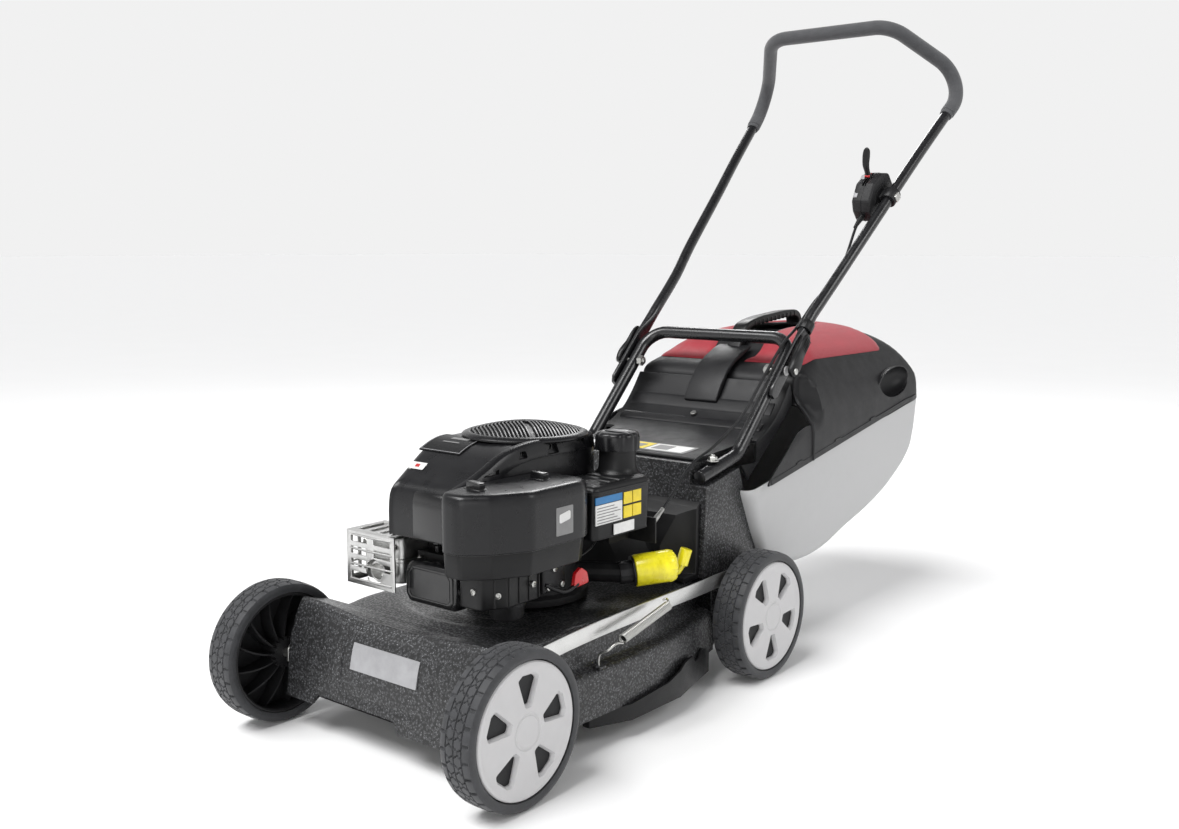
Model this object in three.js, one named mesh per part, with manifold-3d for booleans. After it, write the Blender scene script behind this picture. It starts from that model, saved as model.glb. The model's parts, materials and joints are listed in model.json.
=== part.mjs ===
// Push lawn mower: a petrol rotary mower with a steel deck, a vertical-shaft engine, four wheels on
// cranked height-adjusting axles, a folding handle and a rear grass catcher.
// Millimetres. +Z is up, -Y is the front of the mower and +X is the operator's left.
// Shapes are written with y = 0 at the front wheel axis and z = 0 on the ground; the last lines move the
// origin to the middle of the whole mower's footprint. Rear pieces are written from the rear wheel axis.
import * as THREE from 'three';
import { mergeVertices } from 'three/addons/utils/BufferGeometryUtils.js';
import Module from 'manifold-3d';

const wasm = await Module();
wasm.setup();

// ---------------------------------------------------------------- driving dimensions

// Wheels and running gear
const WHEEL_RADIUS = 101.6;
const WHEEL_WIDTH = 51;
const WHEEL_BASE = 596;
const WHEEL_SIDES = 24;
const RIM_RADIUS = 87;
const COVER_RADIUS = 85.5;
const COVER_WINDOWS = 5;
const HUB_RADIUS = 19;
const STUB_RADIUS = 6.3;
const AXLE_BAR_RADIUS = 7;
const CRANK_ARM = 42;
const LINK_ARM_BACK = 18;
const LINK_ARM_UP = 58;
const CRANK_PLATE = 4.5;
const STRAP_THICKNESS = 3;
const STRAP_HEIGHT = 22;
const STRAP_BOW = 9;
const SPRING_RADIUS = 7;

// Deck and rear tunnel
const SHEET = 3;
const DECK_WIDTH = 410;
const DECK_TOP = 168;
const DECK_BOTTOM = 50;
const DECK_SHELF = 112;
const DECK_POCKET = 30;
const FRONT_PANEL_TOP = 182;
const TUNNEL_WIDTH = 330;
const TUNNEL_TOP = 345;
const SKIRT_DROP = 22;

// Engine, cutting gear
const ENGINE_Y = 280;
const SHAFT_RADIUS = 12.5;
const FLANGE_RADIUS = 92;
const SHROUD_BOTTOM = 286;
const SHROUD_TOP = 405;
const GRILLE_RADIUS = 93;
const GRILLE_RISE = 20;
const GRILLE_SLOTS = 8;
const FLYWHEEL_RADIUS = 74;
const DISC_RADIUS = 130;
const BLADE_LENGTH = 104;
const BLADE_WIDTH = 42;
const BLADE_CIRCLE = 396;
const OIL_FILTER_RADIUS = 23.5;
const OIL_FILTER_LENGTH = 66;
const FUEL_CAP_RADIUS = 33;
const FUEL_CAP_HEIGHT = 27;

// Handle
const LOWER_TUBE = 11;
const UPPER_TUBE = 9.75;
const GRIP_RADIUS = 13.5;
const HANDLE_SPREAD = 300;
const FLAT_END = 6;
const CABLE_RADIUS = 2.5;
const PIVOT_BOLT = 4;
const CAM_LEVER = 78;

// Catcher and flap
const CATCHER_OVERHANG = 33;
const CATCHER_WALL = 3;
const VENT_WALL = 3;
const FLAP_WALL = 4;

// Clearances
const GAP = 0.4;
const RUNNING = 0.4;

// ---------------------------------------------------------------- places worked out from them

const FRONT_TRACK = DECK_WIDTH + 53.6;
const REAR_TRACK = TUNNEL_WIDTH + 94.4;
const AXLE_Z = WHEEL_RADIUS;
const PANEL_HALF = (FRONT_TRACK - WHEEL_WIDTH) / 2 - 11.3;
const TUNNEL_HALF = TUNNEL_WIDTH / 2;
const DECK_HALF = DECK_WIDTH / 2;
const DECK_FRONT = 64;
const DECK_REAR = -66;
const LEG_X = HANDLE_SPREAD / 2;
const LEG_SLOPE = 1.036;
const LEG_FOOT = new THREE.Vector2(22, 350);
const PIVOT = new THREE.Vector2(142, LEG_FOOT.y + (142 - LEG_FOOT.x) * LEG_SLOPE);
const FLAT_X = LEG_X + LOWER_TUBE + 0.8;
const UPPER_X = FLAT_X + FLAT_END / 2;
const CATCHER_HALF = TUNNEL_HALF + CATCHER_OVERHANG;
const BLADE_Z = 66;
const SIDES = [['left', 1], ['right', -1]];

// ---------------------------------------------------------------- materials

const finish = (color, roughness, metalness) => (
  new THREE.MeshStandardMaterial({ color, roughness, metalness })
);
const material = {
  deck: finish('#3b3c3f', 0.45, 0.4),
  tube: finish('#1f1f21', 0.4, 0.3),
  foam: finish('#2c2d30', 0.85, 0),
  black: finish('#161617', 0.5, 0),
  gloss: finish('#0b0b0c', 0.2, 0),
  charcoal: finish('#2b2b2d', 0.5, 0),
  tyre: finish('#2d2e31', 0.8, 0),
  rim: finish('#1b1b1c', 0.6, 0),
  cover: finish('#c3c2c2', 0.5, 0),
  bin: finish('#b5b5b5', 0.55, 0),
  red: finish('#c8505f', 0.7, 0),
  steel: finish('#a8a8a6', 0.35, 0.9),
  alloy: finish('#6d6e70', 0.5, 0.8),
  silver: finish('#c9c9c8', 0.35, 0.8),
  yellow: finish('#d8c400', 0.4, 0),
  tapRed: finish('#b01018', 0.4, 0),
  cable: finish('#151516', 0.45, 0),
};

// ---------------------------------------------------------------- solids

const vec = (x, y, z) => new THREE.Vector3(x, y, z);

// A closed three.js geometry as a manifold solid with its faces pointing out.
function solid(geometry) {
  const bare = new THREE.BufferGeometry();
  bare.setAttribute('position', geometry.getAttribute('position'));
  if (geometry.index) bare.setIndex(geometry.index);
  const merged = mergeVertices(bare, 1e-3);
  const place = merged.getAttribute('position');
  const corner = (i) => new THREE.Vector3().fromBufferAttribute(place, i);
  const faces = [];
  let volume = 0;
  for (let i = 0; i < merged.index.count; i += 3) {
    const [a, b, c] = [0, 1, 2].map((k) => merged.index.getX(i + k));
    if (a === b || b === c || c === a) continue;
    volume += corner(a).dot(corner(b).cross(corner(c)));
    faces.push([a, b, c]);
  }
  const triVerts = new Uint32Array(faces.flatMap(([a, b, c]) => (volume < 0 ? [a, c, b] : [a, b, c])));
  return new wasm.Manifold(new wasm.Mesh({ numProp: 3, vertProperties: place.array, triVerts }));
}

function box([x0, y0, z0], [x1, y1, z1]) {
  const made = new THREE.BoxGeometry(x1 - x0, y1 - y0, z1 - z0);
  return solid(made.translate((x0 + x1) / 2, (y0 + y1) / 2, (z0 + z1) / 2));
}

// An outline pushed along one axis. On x the outline is (y, z), on y it is (x, z), on z it is (x, y).
function prism(axis, outline, from, to) {
  const shape = new THREE.Shape(outline.map(([u, v]) => new THREE.Vector2(u, v)));
  const made = new THREE.ExtrudeGeometry(shape, { depth: to - from, bevelEnabled: false });
  made.translate(0, 0, from);
  const turn = new THREE.Matrix4();
  if (axis === 'x') turn.makeBasis(vec(0, 1, 0), vec(0, 0, 1), vec(1, 0, 0));
  if (axis === 'y') turn.makeBasis(vec(1, 0, 0), vec(0, 0, 1), vec(0, 1, 0));
  return solid(made.applyMatrix4(turn));
}

// A profile of (radius, height) pairs turned about a line through centre.
function turned(profile, centre, direction, sides = 24, phase = 0) {
  const points = profile.map(([r, h]) => new THREE.Vector2(r, h));
  const made = new THREE.LatheGeometry(points, sides, phase);
  const aim = new THREE.Quaternion().setFromUnitVectors(vec(0, 1, 0), direction.clone().normalize());
  return solid(made.applyQuaternion(aim).translate(centre.x, centre.y, centre.z));
}

function rod(from, to, radius, sides = 16) {
  const length = from.distanceTo(to);
  return turned([[0, 0], [radius, 0], [radius, length], [0, length]], from, to.clone().sub(from), sides);
}

// A skin stretched over rings that have the same number of points, closed by a fan at each end.
function loft(rings) {
  const count = rings[0].length;
  const points = rings.flat();
  const faces = [];
  for (let r = 0; r + 1 < rings.length; r++) {
    for (let i = 0; i < count; i++) {
      const [a, b] = [r * count + i, r * count + ((i + 1) % count)];
      faces.push(a, b, b + count, a, b + count, a + count);
    }
  }
  for (const [r, flip] of [[0, true], [rings.length - 1, false]]) {
    const middle = rings[r].reduce((sum, p) => sum.add(p), vec(0, 0, 0)).divideScalar(count);
    const hub = points.push(middle) - 1;
    for (let i = 0; i < count; i++) {
      const [a, b] = [r * count + i, r * count + ((i + 1) % count)];
      faces.push(...(flip ? [hub, b, a] : [hub, a, b]));
    }
  }
  return solid(new THREE.BufferGeometry().setFromPoints(points).setIndex(faces));
}

// Rounds the corners of a route with arcs.
function rounded(corners, radius, steps = 4) {
  const route = [corners[0]];
  for (let i = 1; i + 1 < corners.length; i++) {
    const corner = corners[i];
    const back = corners[i - 1].clone().sub(corner).normalize();
    const on = corners[i + 1].clone().sub(corner).normalize();
    const half = back.angleTo(on) / 2;
    const centre = back.clone().add(on).normalize().multiplyScalar(radius / Math.sin(half)).add(corner);
    const first = back.clone().multiplyScalar(radius / Math.tan(half)).add(corner).sub(centre);
    const last = on.clone().multiplyScalar(radius / Math.tan(half)).add(corner).sub(centre);
    const turn = first.angleTo(last);
    for (let k = 0; k <= steps; k++) {
      const a = Math.sin((1 - k / steps) * turn) / Math.sin(turn);
      const b = Math.sin((k / steps) * turn) / Math.sin(turn);
      route.push(centre.clone().addScaledVector(first, a).addScaledVector(last, b));
    }
  }
  return [...route, corners.at(-1)];
}

// A curve that visits each listed point once, so straight stretches take one step.
class Route extends THREE.Curve {
  constructor(points) {
    super();
    this.points = points;
  }

  getPoint(t, target = new THREE.Vector3()) {
    const last = this.points.length - 1;
    const i = Math.min(Math.floor(t * last + 1e-9), last - 1);
    return target.lerpVectors(this.points[i], this.points[i + 1], t * last - i);
  }

  getPointAt(u, target) {
    return this.getPoint(u, target);
  }

  getTangentAt(u, target = new THREE.Vector3()) {
    const last = this.points.length - 1;
    const i = Math.round(u * last);
    const before = this.points[Math.max(i - 1, 0)];
    const after = this.points[Math.min(i + 1, last)];
    const here = this.points[i];
    const arriving = i > 0 ? here.clone().sub(before).normalize() : vec(0, 0, 0);
    const leaving = i < last ? after.clone().sub(here).normalize() : vec(0, 0, 0);
    return target.copy(arriving).add(leaving).normalize();
  }
}

function tube(points, radius, sides = 10) {
  const ring = Array.from({ length: sides }, (_, i) => (2 * Math.PI * i) / sides);
  const corner = (a) => new THREE.Vector2(radius * Math.cos(a), radius * Math.sin(a));
  const shape = new THREE.Shape(ring.map(corner));
  const options = { steps: points.length - 1, extrudePath: new Route(points), bevelEnabled: false };
  return solid(new THREE.ExtrudeGeometry(shape, options));
}

// Radius of a faceted bore that clears a faceted rod of the given radius whichever way its facets lie.
const TUBE_SIDES = 10;
const roomFor = (radius) => (radius + GAP) / Math.cos(Math.PI / TUBE_SIDES);

const mirrored = (made) => made.mirror([1, 0, 0]);
const onSide = (made, sign) => (sign > 0 ? made : mirrored(made));
const union = (...parts) => parts.reduce((sum, part) => sum.add(part));
const minus = (whole, ...cuts) => cuts.reduce((left, cut) => left.subtract(cut), whole);

// A named mesh with flat faces.
function piece(name, made, look) {
  const { vertProperties, triVerts } = made.getMesh();
  const geometry = new THREE.BufferGeometry();
  geometry.setAttribute('position', new THREE.BufferAttribute(new Float32Array(vertProperties), 3));
  geometry.setIndex(new THREE.BufferAttribute(new Uint32Array(triVerts), 1));
  geometry.computeVertexNormals();
  const mesh = new THREE.Mesh(geometry, look);
  mesh.name = name;
  return mesh;
}

const mower = new THREE.Group();
const tail = new THREE.Group();
tail.position.y = WHEEL_BASE;
mower.add(tail);

// ---------------------------------------------------------------- wheels

const POLY = 1 / Math.cos(Math.PI / WHEEL_SIDES);
const PHASE = Math.PI / WHEEL_SIDES;

// Turned about the wheel's own axis, with the outer face on the +X side and a flat of the tread below.
function wheelTurn(profile) {
  return turned(profile.map(([r, h]) => [r * POLY, h]), vec(0, 0, 0), vec(1, 0, 0), WHEEL_SIDES, PHASE);
}

function tyreSolid() {
  const half = WHEEL_WIDTH / 2;
  const shoulder = 9;
  return wheelTurn([
    [RIM_RADIUS + GAP, -half + 1],
    [WHEEL_RADIUS - 5, -half],
    [WHEEL_RADIUS, -half + shoulder],
    [WHEEL_RADIUS, half - shoulder],
    [WHEEL_RADIUS - 5, half],
    [RIM_RADIUS + GAP, half - 1],
    [RIM_RADIUS + GAP, -half + 1],
  ]);
}

function rimSolid() {
  const half = WHEEL_WIDTH / 2;
  const barrel = 4;
  const web = 5;
  const face = half - 8;
  const hubInner = -half + 5.5;
  return wheelTurn([
    [(STUB_RADIUS + RUNNING) / POLY, hubInner],
    [HUB_RADIUS, hubInner],
    [HUB_RADIUS, face - web],
    [RIM_RADIUS - barrel, face - web],
    [RIM_RADIUS - barrel, -half + 3],
    [RIM_RADIUS, -half + 3],
    [RIM_RADIUS, face],
    [(STUB_RADIUS + RUNNING) / POLY, face],
    [(STUB_RADIUS + RUNNING) / POLY, hubInner],
  ]);
}

function coverSolid(turn) {
  const half = WHEEL_WIDTH / 2;
  const back = half - 8 + GAP;
  const disc = wheelTurn([[0, back], [COVER_RADIUS, back], [COVER_RADIUS, half - 2], [60, half], [0, half]]);
  const windows = Array.from({ length: COVER_WINDOWS }, (_, i) => {
    const angle = turn + (2 * Math.PI * i) / COVER_WINDOWS;
    const at = (r, a) => [r * Math.sin(angle + a), r * Math.cos(angle + a)];
    return prism('x', [at(38, 0), at(66, -0.2), at(67.5, 0), at(66, 0.2)], back - 1, half + 1);
  });
  return minus(disc, ...windows);
}

function addWheels(end, y, track, turn) {
  for (const [side, sign] of SIDES) {
    const wheel = new THREE.Group();
    wheel.position.set((sign * track) / 2, y, AXLE_Z);
    wheel.add(piece(`${end}_tyre_${side}`, onSide(tyreSolid(), sign), material.tyre));
    wheel.add(piece(`${end}_rim_${side}`, onSide(rimSolid(), sign), material.rim));
    wheel.add(piece(`${end}_cover_${side}`, onSide(coverSolid(turn), sign), material.cover));
    mower.add(wheel);
  }
}

addWheels('front', 0, FRONT_TRACK, 0.05);
addWheels('rear', WHEEL_BASE, REAR_TRACK, 0.63);

// ---------------------------------------------------------------- cranked axles and height link

const FRONT_CRANK_X = PANEL_HALF + 1;
const REAR_CRANK_X = TUNNEL_HALF + 7;
const LINK_PIN = 4;

// A cross bar with a bell crank at each end that carries the wheel stub and the height link's pin.
function axleSolid(crankX, track) {
  const wheelAxis = -CRANK_ARM;
  const bar = rod(vec(-crankX - 1, 0, 0), vec(crankX + 1, 0, 0), AXLE_BAR_RADIUS);
  const plate = prism('x', [
    [wheelAxis - 8, -9],
    [wheelAxis - 8, 9],
    [LINK_ARM_BACK - 8, LINK_ARM_UP + 6],
    [LINK_ARM_BACK + 8, LINK_ARM_UP + 6],
    [14, -2],
    [9, -11],
  ], crankX, crankX + CRANK_PLATE);
  const stubEnd = track / 2 + WHEEL_WIDTH / 2 - 9;
  const stub = rod(vec(crankX, wheelAxis, 0), vec(stubEnd, wheelAxis, 0), STUB_RADIUS);
  const crank = union(plate, stub);
  const pin = rod(vec(crankX + 1, LINK_ARM_BACK, LINK_ARM_UP),
    vec(crankX + CRANK_PLATE + STRAP_THICKNESS + 1, LINK_ARM_BACK, LINK_ARM_UP), LINK_PIN, 8);
  return union(bar, crank, mirrored(crank), pin);
}

function addAxle(name, y, crankX, track) {
  const axle = piece(name, axleSolid(crankX, track), material.steel);
  axle.position.set(0, y + CRANK_ARM, AXLE_Z);
  mower.add(axle);
}

addAxle('front_axle', 0, FRONT_CRANK_X, FRONT_TRACK);
addAxle('rear_axle', WHEEL_BASE, REAR_CRANK_X, REAR_TRACK);

const PIN_Z = AXLE_Z + LINK_ARM_UP;
const FRONT_PIN_Y = CRANK_ARM + LINK_ARM_BACK;
const REAR_PIN_Y = WHEEL_BASE + FRONT_PIN_Y;

// A flat bar on edge, bowed upwards over the deck's side, pinned to both left cranks.
function heightLink() {
  const frontX = FRONT_CRANK_X + CRANK_PLATE + GAP + STRAP_THICKNESS / 2;
  const rearX = REAR_CRANK_X + CRANK_PLATE + GAP + STRAP_THICKNESS / 2;
  const run = REAR_PIN_Y - FRONT_PIN_Y;
  const stations = [
    [-14, frontX, 0],
    [46, frontX, 0.45],
    [170, frontX - 2.4, 1],
    [run - 296, DECK_HALF - 12, 0.9],
    [run - 190, rearX + 9, 0.75],
    [run - 130, rearX + 3, 0.6],
    [run - 60, rearX, 0.35],
    [run + 14, rearX, 0],
  ];
  const rings = stations.map(([along, x, bow]) => {
    const y = FRONT_PIN_Y + along;
    const z = PIN_Z + STRAP_BOW * bow;
    const [t, h] = [STRAP_THICKNESS / 2, STRAP_HEIGHT / 2];
    return [vec(x - t, y, z - h), vec(x + t, y, z - h), vec(x + t, y, z + h), vec(x - t, y, z + h)];
  });
  const hole = (y, x) => rod(vec(x - 20, y, PIN_Z), vec(x + 20, y, PIN_Z), LINK_PIN + RUNNING, 8);
  return minus(loft(rings), hole(FRONT_PIN_Y, frontX), hole(REAR_PIN_Y, rearX));
}

mower.add(piece('height_link', heightLink(), material.steel));

// Counterbalance spring beside the height link, hooked down to the deck's shelf.
const SPRING_X = FRONT_CRANK_X + CRANK_PLATE + STRAP_THICKNESS + GAP + SPRING_RADIUS + 7;
const SPRING_FRONT = vec(SPRING_X, 227, 153);
const SPRING_REAR = vec(SPRING_X - 4, 337, 174);

function heightSpring() {
  const hookEnd = vec(DECK_HALF - 6, 207, DECK_SHELF + 3);
  const hook = tube([SPRING_FRONT, vec(SPRING_X - 2, 209, 146), vec(DECK_HALF - 5, 205, 135), hookEnd], 2, 6);
  return union(rod(SPRING_FRONT, SPRING_REAR, SPRING_RADIUS, 12), hook);
}

mower.add(piece('height_spring', heightSpring(), material.silver));

// ---------------------------------------------------------------- deck

// Half of the deck's plan as (x, y). Its rear end moves with the wheel base and narrows to the tunnel.
const REAR_Y = WHEEL_BASE + DECK_REAR;
const DECK_PLAN = [
  [0.93 * DECK_HALF, DECK_FRONT],
  [DECK_HALF, 115],
  [1.01 * DECK_HALF, 250],
  [DECK_HALF, WHEEL_BASE - 236],
  [TUNNEL_HALF + 24.6, WHEEL_BASE - 146],
  [TUNNEL_HALF - 1, REAR_Y],
];

function deckRing(z, inset, front = 0, rear = 0) {
  const side = DECK_PLAN.map(([x, y]) => {
    const end = y === DECK_FRONT ? front : 0;
    return [x - inset, y === REAR_Y ? y + rear : y + end];
  });
  const far = side.map(([x, y]) => [-x, y]).reverse();
  return [...side, ...far].map(([x, y]) => vec(x, y, z));
}

function deckPan() {
  const outer = loft([
    deckRing(DECK_BOTTOM, -3),
    deckRing(DECK_SHELF - 3, 2),
    deckRing(DECK_SHELF, 4),
    deckRing(DECK_SHELF + 5, DECK_POCKET - 4),
    deckRing(DECK_TOP - 8, DECK_POCKET),
    deckRing(DECK_TOP, DECK_POCKET + 6),
  ]);
  const inner = loft([
    deckRing(DECK_BOTTOM - 20, SHEET - 3, SHEET, SHEET),
    deckRing(DECK_SHELF - 3 - SHEET, SHEET + 2, SHEET, SHEET),
    deckRing(DECK_SHELF - SHEET, SHEET + 4, SHEET, SHEET),
    deckRing(DECK_SHELF + 5 - SHEET, DECK_POCKET - 4 + SHEET, SHEET, SHEET),
    deckRing(DECK_TOP - 8, DECK_POCKET + SHEET, SHEET, SHEET),
    deckRing(DECK_TOP - SHEET, DECK_POCKET + 6 + SHEET, SHEET, SHEET),
  ]);
  const shaftHole = rod(vec(0, ENGINE_Y, DECK_TOP - 20), vec(0, ENGINE_Y, DECK_TOP + 5), SHAFT_RADIUS + 12);
  const chute = box([12 - TUNNEL_HALF, REAR_Y - 18, DECK_TOP - 10],
    [TUNNEL_HALF - 12, REAR_Y + 5, DECK_TOP + 5]);
  return minus(outer, inner, shaftHole, chute);
}

mower.add(piece('deck_pan', deckPan(), material.deck));

// Pressed front panel that leans back to a ridge and houses the front axle bar.
function frontPanel() {
  const back = DECK_FRONT - GAP;
  const face = [[-14, 46], [-10, 62], [-7, 110], [6, 158], [22, FRONT_PANEL_TOP], [46, FRONT_PANEL_TOP - 1]];
  const hollow = face.map(([y, z], i) => [y + SHEET, i > 2 ? z - SHEET : z]);
  const outer = prism('x', [...face, [back, DECK_TOP + 2], [back, 46]], -PANEL_HALF, PANEL_HALF);
  const inner = prism('x', [[SHEET - 14, 30], ...hollow, [back + 5, DECK_TOP - 2], [back + 5, 30]],
    SHEET - PANEL_HALF, PANEL_HALF - SHEET);
  const barHole = rod(vec(-PANEL_HALF - 5, CRANK_ARM, AXLE_Z), vec(PANEL_HALF + 5, CRANK_ARM, AXLE_Z),
    AXLE_BAR_RADIUS + RUNNING);
  const notch = prism('y', [[-0.72 * PANEL_HALF, 40], [-0.66 * PANEL_HALF, 60], [0.18 * PANEL_HALF, 60],
    [0.24 * PANEL_HALF, 40]], -30, SHEET + 8);
  return minus(outer, inner, barHole, notch);
}

mower.add(piece('front_panel', frontPanel(), material.deck));

// Plastic side skirt under the deck's rim, with two humps near its rear end.
function skirtSolid() {
  const front = 196;
  const rear = WHEEL_BASE - 102;
  const low = DECK_BOTTOM - SKIRT_DROP;
  const outer = [
    [DECK_HALF - 14, front],
    [DECK_HALF + 12, front + 62],
    [DECK_HALF + 12, WHEEL_BASE - 222],
    [DECK_HALF - 20, rear],
  ];
  const inner = outer.map(([x, y]) => [x - 12, y]).reverse();
  const band = prism('z', [...outer, ...inner], low, DECK_BOTTOM - GAP);
  const wall = outer.map(([x, y]) => [x - 3.5, y]).reverse();
  const lip = prism('z', [...outer, ...wall], low, DECK_BOTTOM + 26);
  const humps = prism('x', [
    [front - 5, DECK_BOTTOM - 4],
    [front + 150, DECK_BOTTOM + 8],
    [rear - 100, DECK_BOTTOM + 24],
    [rear - 70, DECK_BOTTOM + 24],
    [rear - 60, DECK_BOTTOM + 12],
    [rear - 45, DECK_BOTTOM + 12],
    [rear - 30, DECK_BOTTOM + 22],
    [rear + 5, DECK_BOTTOM + 14],
    [rear + 5, low - 5],
    [front - 5, low - 5],
  ], DECK_HALF - 60, DECK_HALF + 40);
  const clear = loft([deckRing(DECK_BOTTOM, -3 - GAP), deckRing(DECK_SHELF, -3 - GAP)]);
  return minus(union(band, lip.intersect(humps)), clear);
}

for (const [side, sign] of SIDES) {
  mower.add(piece(`side_skirt_${side}`, onSide(skirtSolid(), sign), material.black));
}

// ---------------------------------------------------------------- rear tunnel and cowl

const LEDGE_X = LEG_X - LOWER_TUBE - 5;
const LEDGE_FRONT = [-101, 308];
const LEDGE_REAR = [9, 330];

// The corner cut from the tunnel's top edges, where the handle's feet lie.
function ledgeCut(grow) {
  const outline = [
    [LEDGE_FRONT[0], LEDGE_FRONT[1] - grow],
    [LEDGE_REAR[0], LEDGE_REAR[1] - grow],
    [110, TUNNEL_TOP + 10],
    [110, TUNNEL_TOP + 60],
    [LEDGE_FRONT[0], TUNNEL_TOP + 60],
  ];
  const cut = prism('x', outline, LEDGE_X - grow, TUNNEL_HALF + 5);
  return union(cut, mirrored(cut));
}

function rearTunnel() {
  const seat = DECK_TOP + GAP;
  const deckEnd = DECK_REAR + GAP;
  const outer = prism('x', [
    [DECK_REAR - 25, seat],
    [DECK_REAR - 18, TUNNEL_TOP],
    [2, TUNNEL_TOP],
    [59, 190],
    [40, 150],
    [-61, 54],
    [deckEnd, 54],
    [deckEnd, seat],
  ], -TUNNEL_HALF, TUNNEL_HALF);
  const inner = prism('x', [
    [DECK_REAR - 22, seat - 5],
    [DECK_REAR - 15, TUNNEL_TOP - SHEET],
    [60, TUNNEL_TOP - SHEET],
    [110, 190],
    [41, 154],
    [-60, 58],
    [deckEnd - 5, 58],
  ], SHEET - TUNNEL_HALF, TUNNEL_HALF - SHEET);
  const shell = minus(outer, ledgeCut(0), minus(inner, ledgeCut(SHEET)));
  const ear = prism('x', [[CRANK_ARM - 16, AXLE_Z - 16], [CRANK_ARM + 16, AXLE_Z - 16], [CRANK_ARM + 16, 185],
    [CRANK_ARM - 16, 145]], TUNNEL_HALF - SHEET, TUNNEL_HALF);
  const barHole = rod(vec(-TUNNEL_HALF - 5, CRANK_ARM, AXLE_Z), vec(TUNNEL_HALF + 5, CRANK_ARM, AXLE_Z),
    AXLE_BAR_RADIUS + RUNNING);
  return minus(union(shell, ear, mirrored(ear)), barHole);
}

tail.add(piece('rear_tunnel', rearTunnel(), material.deck));

// Plastic cowl in front of the tunnel, scooped out round the oil filter.
function tunnelCowl() {
  const seat = DECK_TOP + GAP;
  const front = DECK_REAR - 65;
  const block = prism('x', [
    [front, seat],
    [front, 220],
    [front + 18, 268],
    [DECK_REAR - 22 - GAP, 288],
    [DECK_REAR - 26 - GAP, seat],
  ], 10 - TUNNEL_HALF, TUNNEL_HALF - 8);
  const scoop = rod(vec(178, DECK_REAR - 112, seat + 8), vec(178, DECK_REAR - 112, 320), 82, 20);
  const round = rod(vec(20, DECK_REAR - 200, seat - 5), vec(20, DECK_REAR - 200, 320), 150, 24);
  return minus(block, scoop, round);
}

tail.add(piece('tunnel_cowl', tunnelCowl(), material.black));

// ---------------------------------------------------------------- engine

const OIL_FILTER_BASE = vec(150, 347, 211);
const OIL_FILTER_AIM = vec(0.62, 0.75, 0.1).normalize();
const OIL_FILTER_END = OIL_FILTER_BASE.clone().addScaledVector(OIL_FILTER_AIM, OIL_FILTER_LENGTH);
const CABLE_STOP = vec(150, 390, 272);
const BLOCK_TOP = 300;
const FILTER_SPLIT = 290;

function engineBlock() {
  const seat = DECK_TOP + GAP;
  const centre = vec(0, ENGINE_Y, 0);
  const crankcase = turned([
    [0, seat], [FLANGE_RADIUS, seat], [FLANGE_RADIUS, seat + 10], [82, seat + 14],
    [82, 262], [60, 272], [34, 276], [34, BLOCK_TOP], [0, BLOCK_TOP],
  ], centre, vec(0, 0, 1), 20);
  const barrel = box([-44, 128, 196], [50, 230, 252]);
  const fins = [0, 1, 2, 3, 4].map((i) => box([-54, 134 + 13 * i, 188], [60, 139 + 13 * i, 268]));
  const head = box([-50, 109 + GAP, 190], [60, 128.5, 256]);
  const intake = box([56, 170, 218], [100, 200, FILTER_SPLIT - 36]);
  const alongFilter = (d) => OIL_FILTER_BASE.clone().addScaledVector(OIL_FILTER_AIM, d);
  const filterArm = union(rod(vec(40, 290, 205), alongFilter(-14), 15, 12),
    rod(alongFilter(-22), alongFilter(-GAP), 17, 12));
  const stopPlate = box([100, 386, 246], [160, 389, 284]);
  const stopArm = box([30, 340, 246], [110, 389, 256]);
  const bore = rod(vec(0, ENGINE_Y, seat - 5), vec(0, ENGINE_Y, BLOCK_TOP + 5), SHAFT_RADIUS + RUNNING, 20);
  return minus(union(crankcase, barrel, ...fins, head, intake, filterArm, stopPlate, stopArm), bore);
}

mower.add(piece('engine_block', engineBlock(), material.alloy));

function valveCover() {
  const outline = [[-40, 190], [50, 190], [57, 197], [57, 240], [50, 250], [-36, 250], [-45, 241],
    [-45, 197]];
  const front = outline.map(([x, z]) => [6 + (x - 6) * 0.9, 220 + (z - 220) * 0.9]);
  const ring = (points, y) => points.map(([x, z]) => vec(x, y, z));
  return loft([ring(front, 79), ring(outline, 86), ring(outline, 109)]);
}

mower.add(piece('valve_cover', valveCover(), material.gloss));

// Plan of the blower housing as (x, y): round at the rear over the flywheel, narrowing to its front face.
const SHROUD_PLAN = [
  [75, 66], [79, 120], [79, ENGINE_Y], [74, 345], [45, 374], [0, 386], [-50, 376],
  [-88, 345], [-104, ENGINE_Y], [-98, 190], [-76, 110], [-60, 66],
];

function shroudRing(inset, rise, sink) {
  const middle = new THREE.Vector2(-6, 225);
  return SHROUD_PLAN.map(([x, y]) => {
    const out = new THREE.Vector2(x, y).sub(middle);
    const p = out.clone().setLength(out.length() - inset).add(middle);
    const slope = THREE.MathUtils.smoothstep(p.y, 40, 200);
    return vec(p.x, p.y, rise < 0 ? SHROUD_BOTTOM - sink
      : THREE.MathUtils.lerp(rise, SHROUD_TOP, slope) - sink);
  });
}

function shroud() {
  const outer = loft([shroudRing(0, -1, 0), shroudRing(1, 336, 22), shroudRing(12, 352, 0)]);
  const inner = loft([shroudRing(SHEET, -1, 10), shroudRing(SHEET + 1, 334, 24),
    shroudRing(SHEET + 12, 350, SHEET)]);
  const opening = rod(vec(0, ENGINE_Y, SHROUD_TOP - 12), vec(0, ENGINE_Y, SHROUD_TOP + 5), 66, 28);
  return minus(outer, inner, opening);
}

mower.add(piece('shroud', shroud(), material.charcoal));

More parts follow.
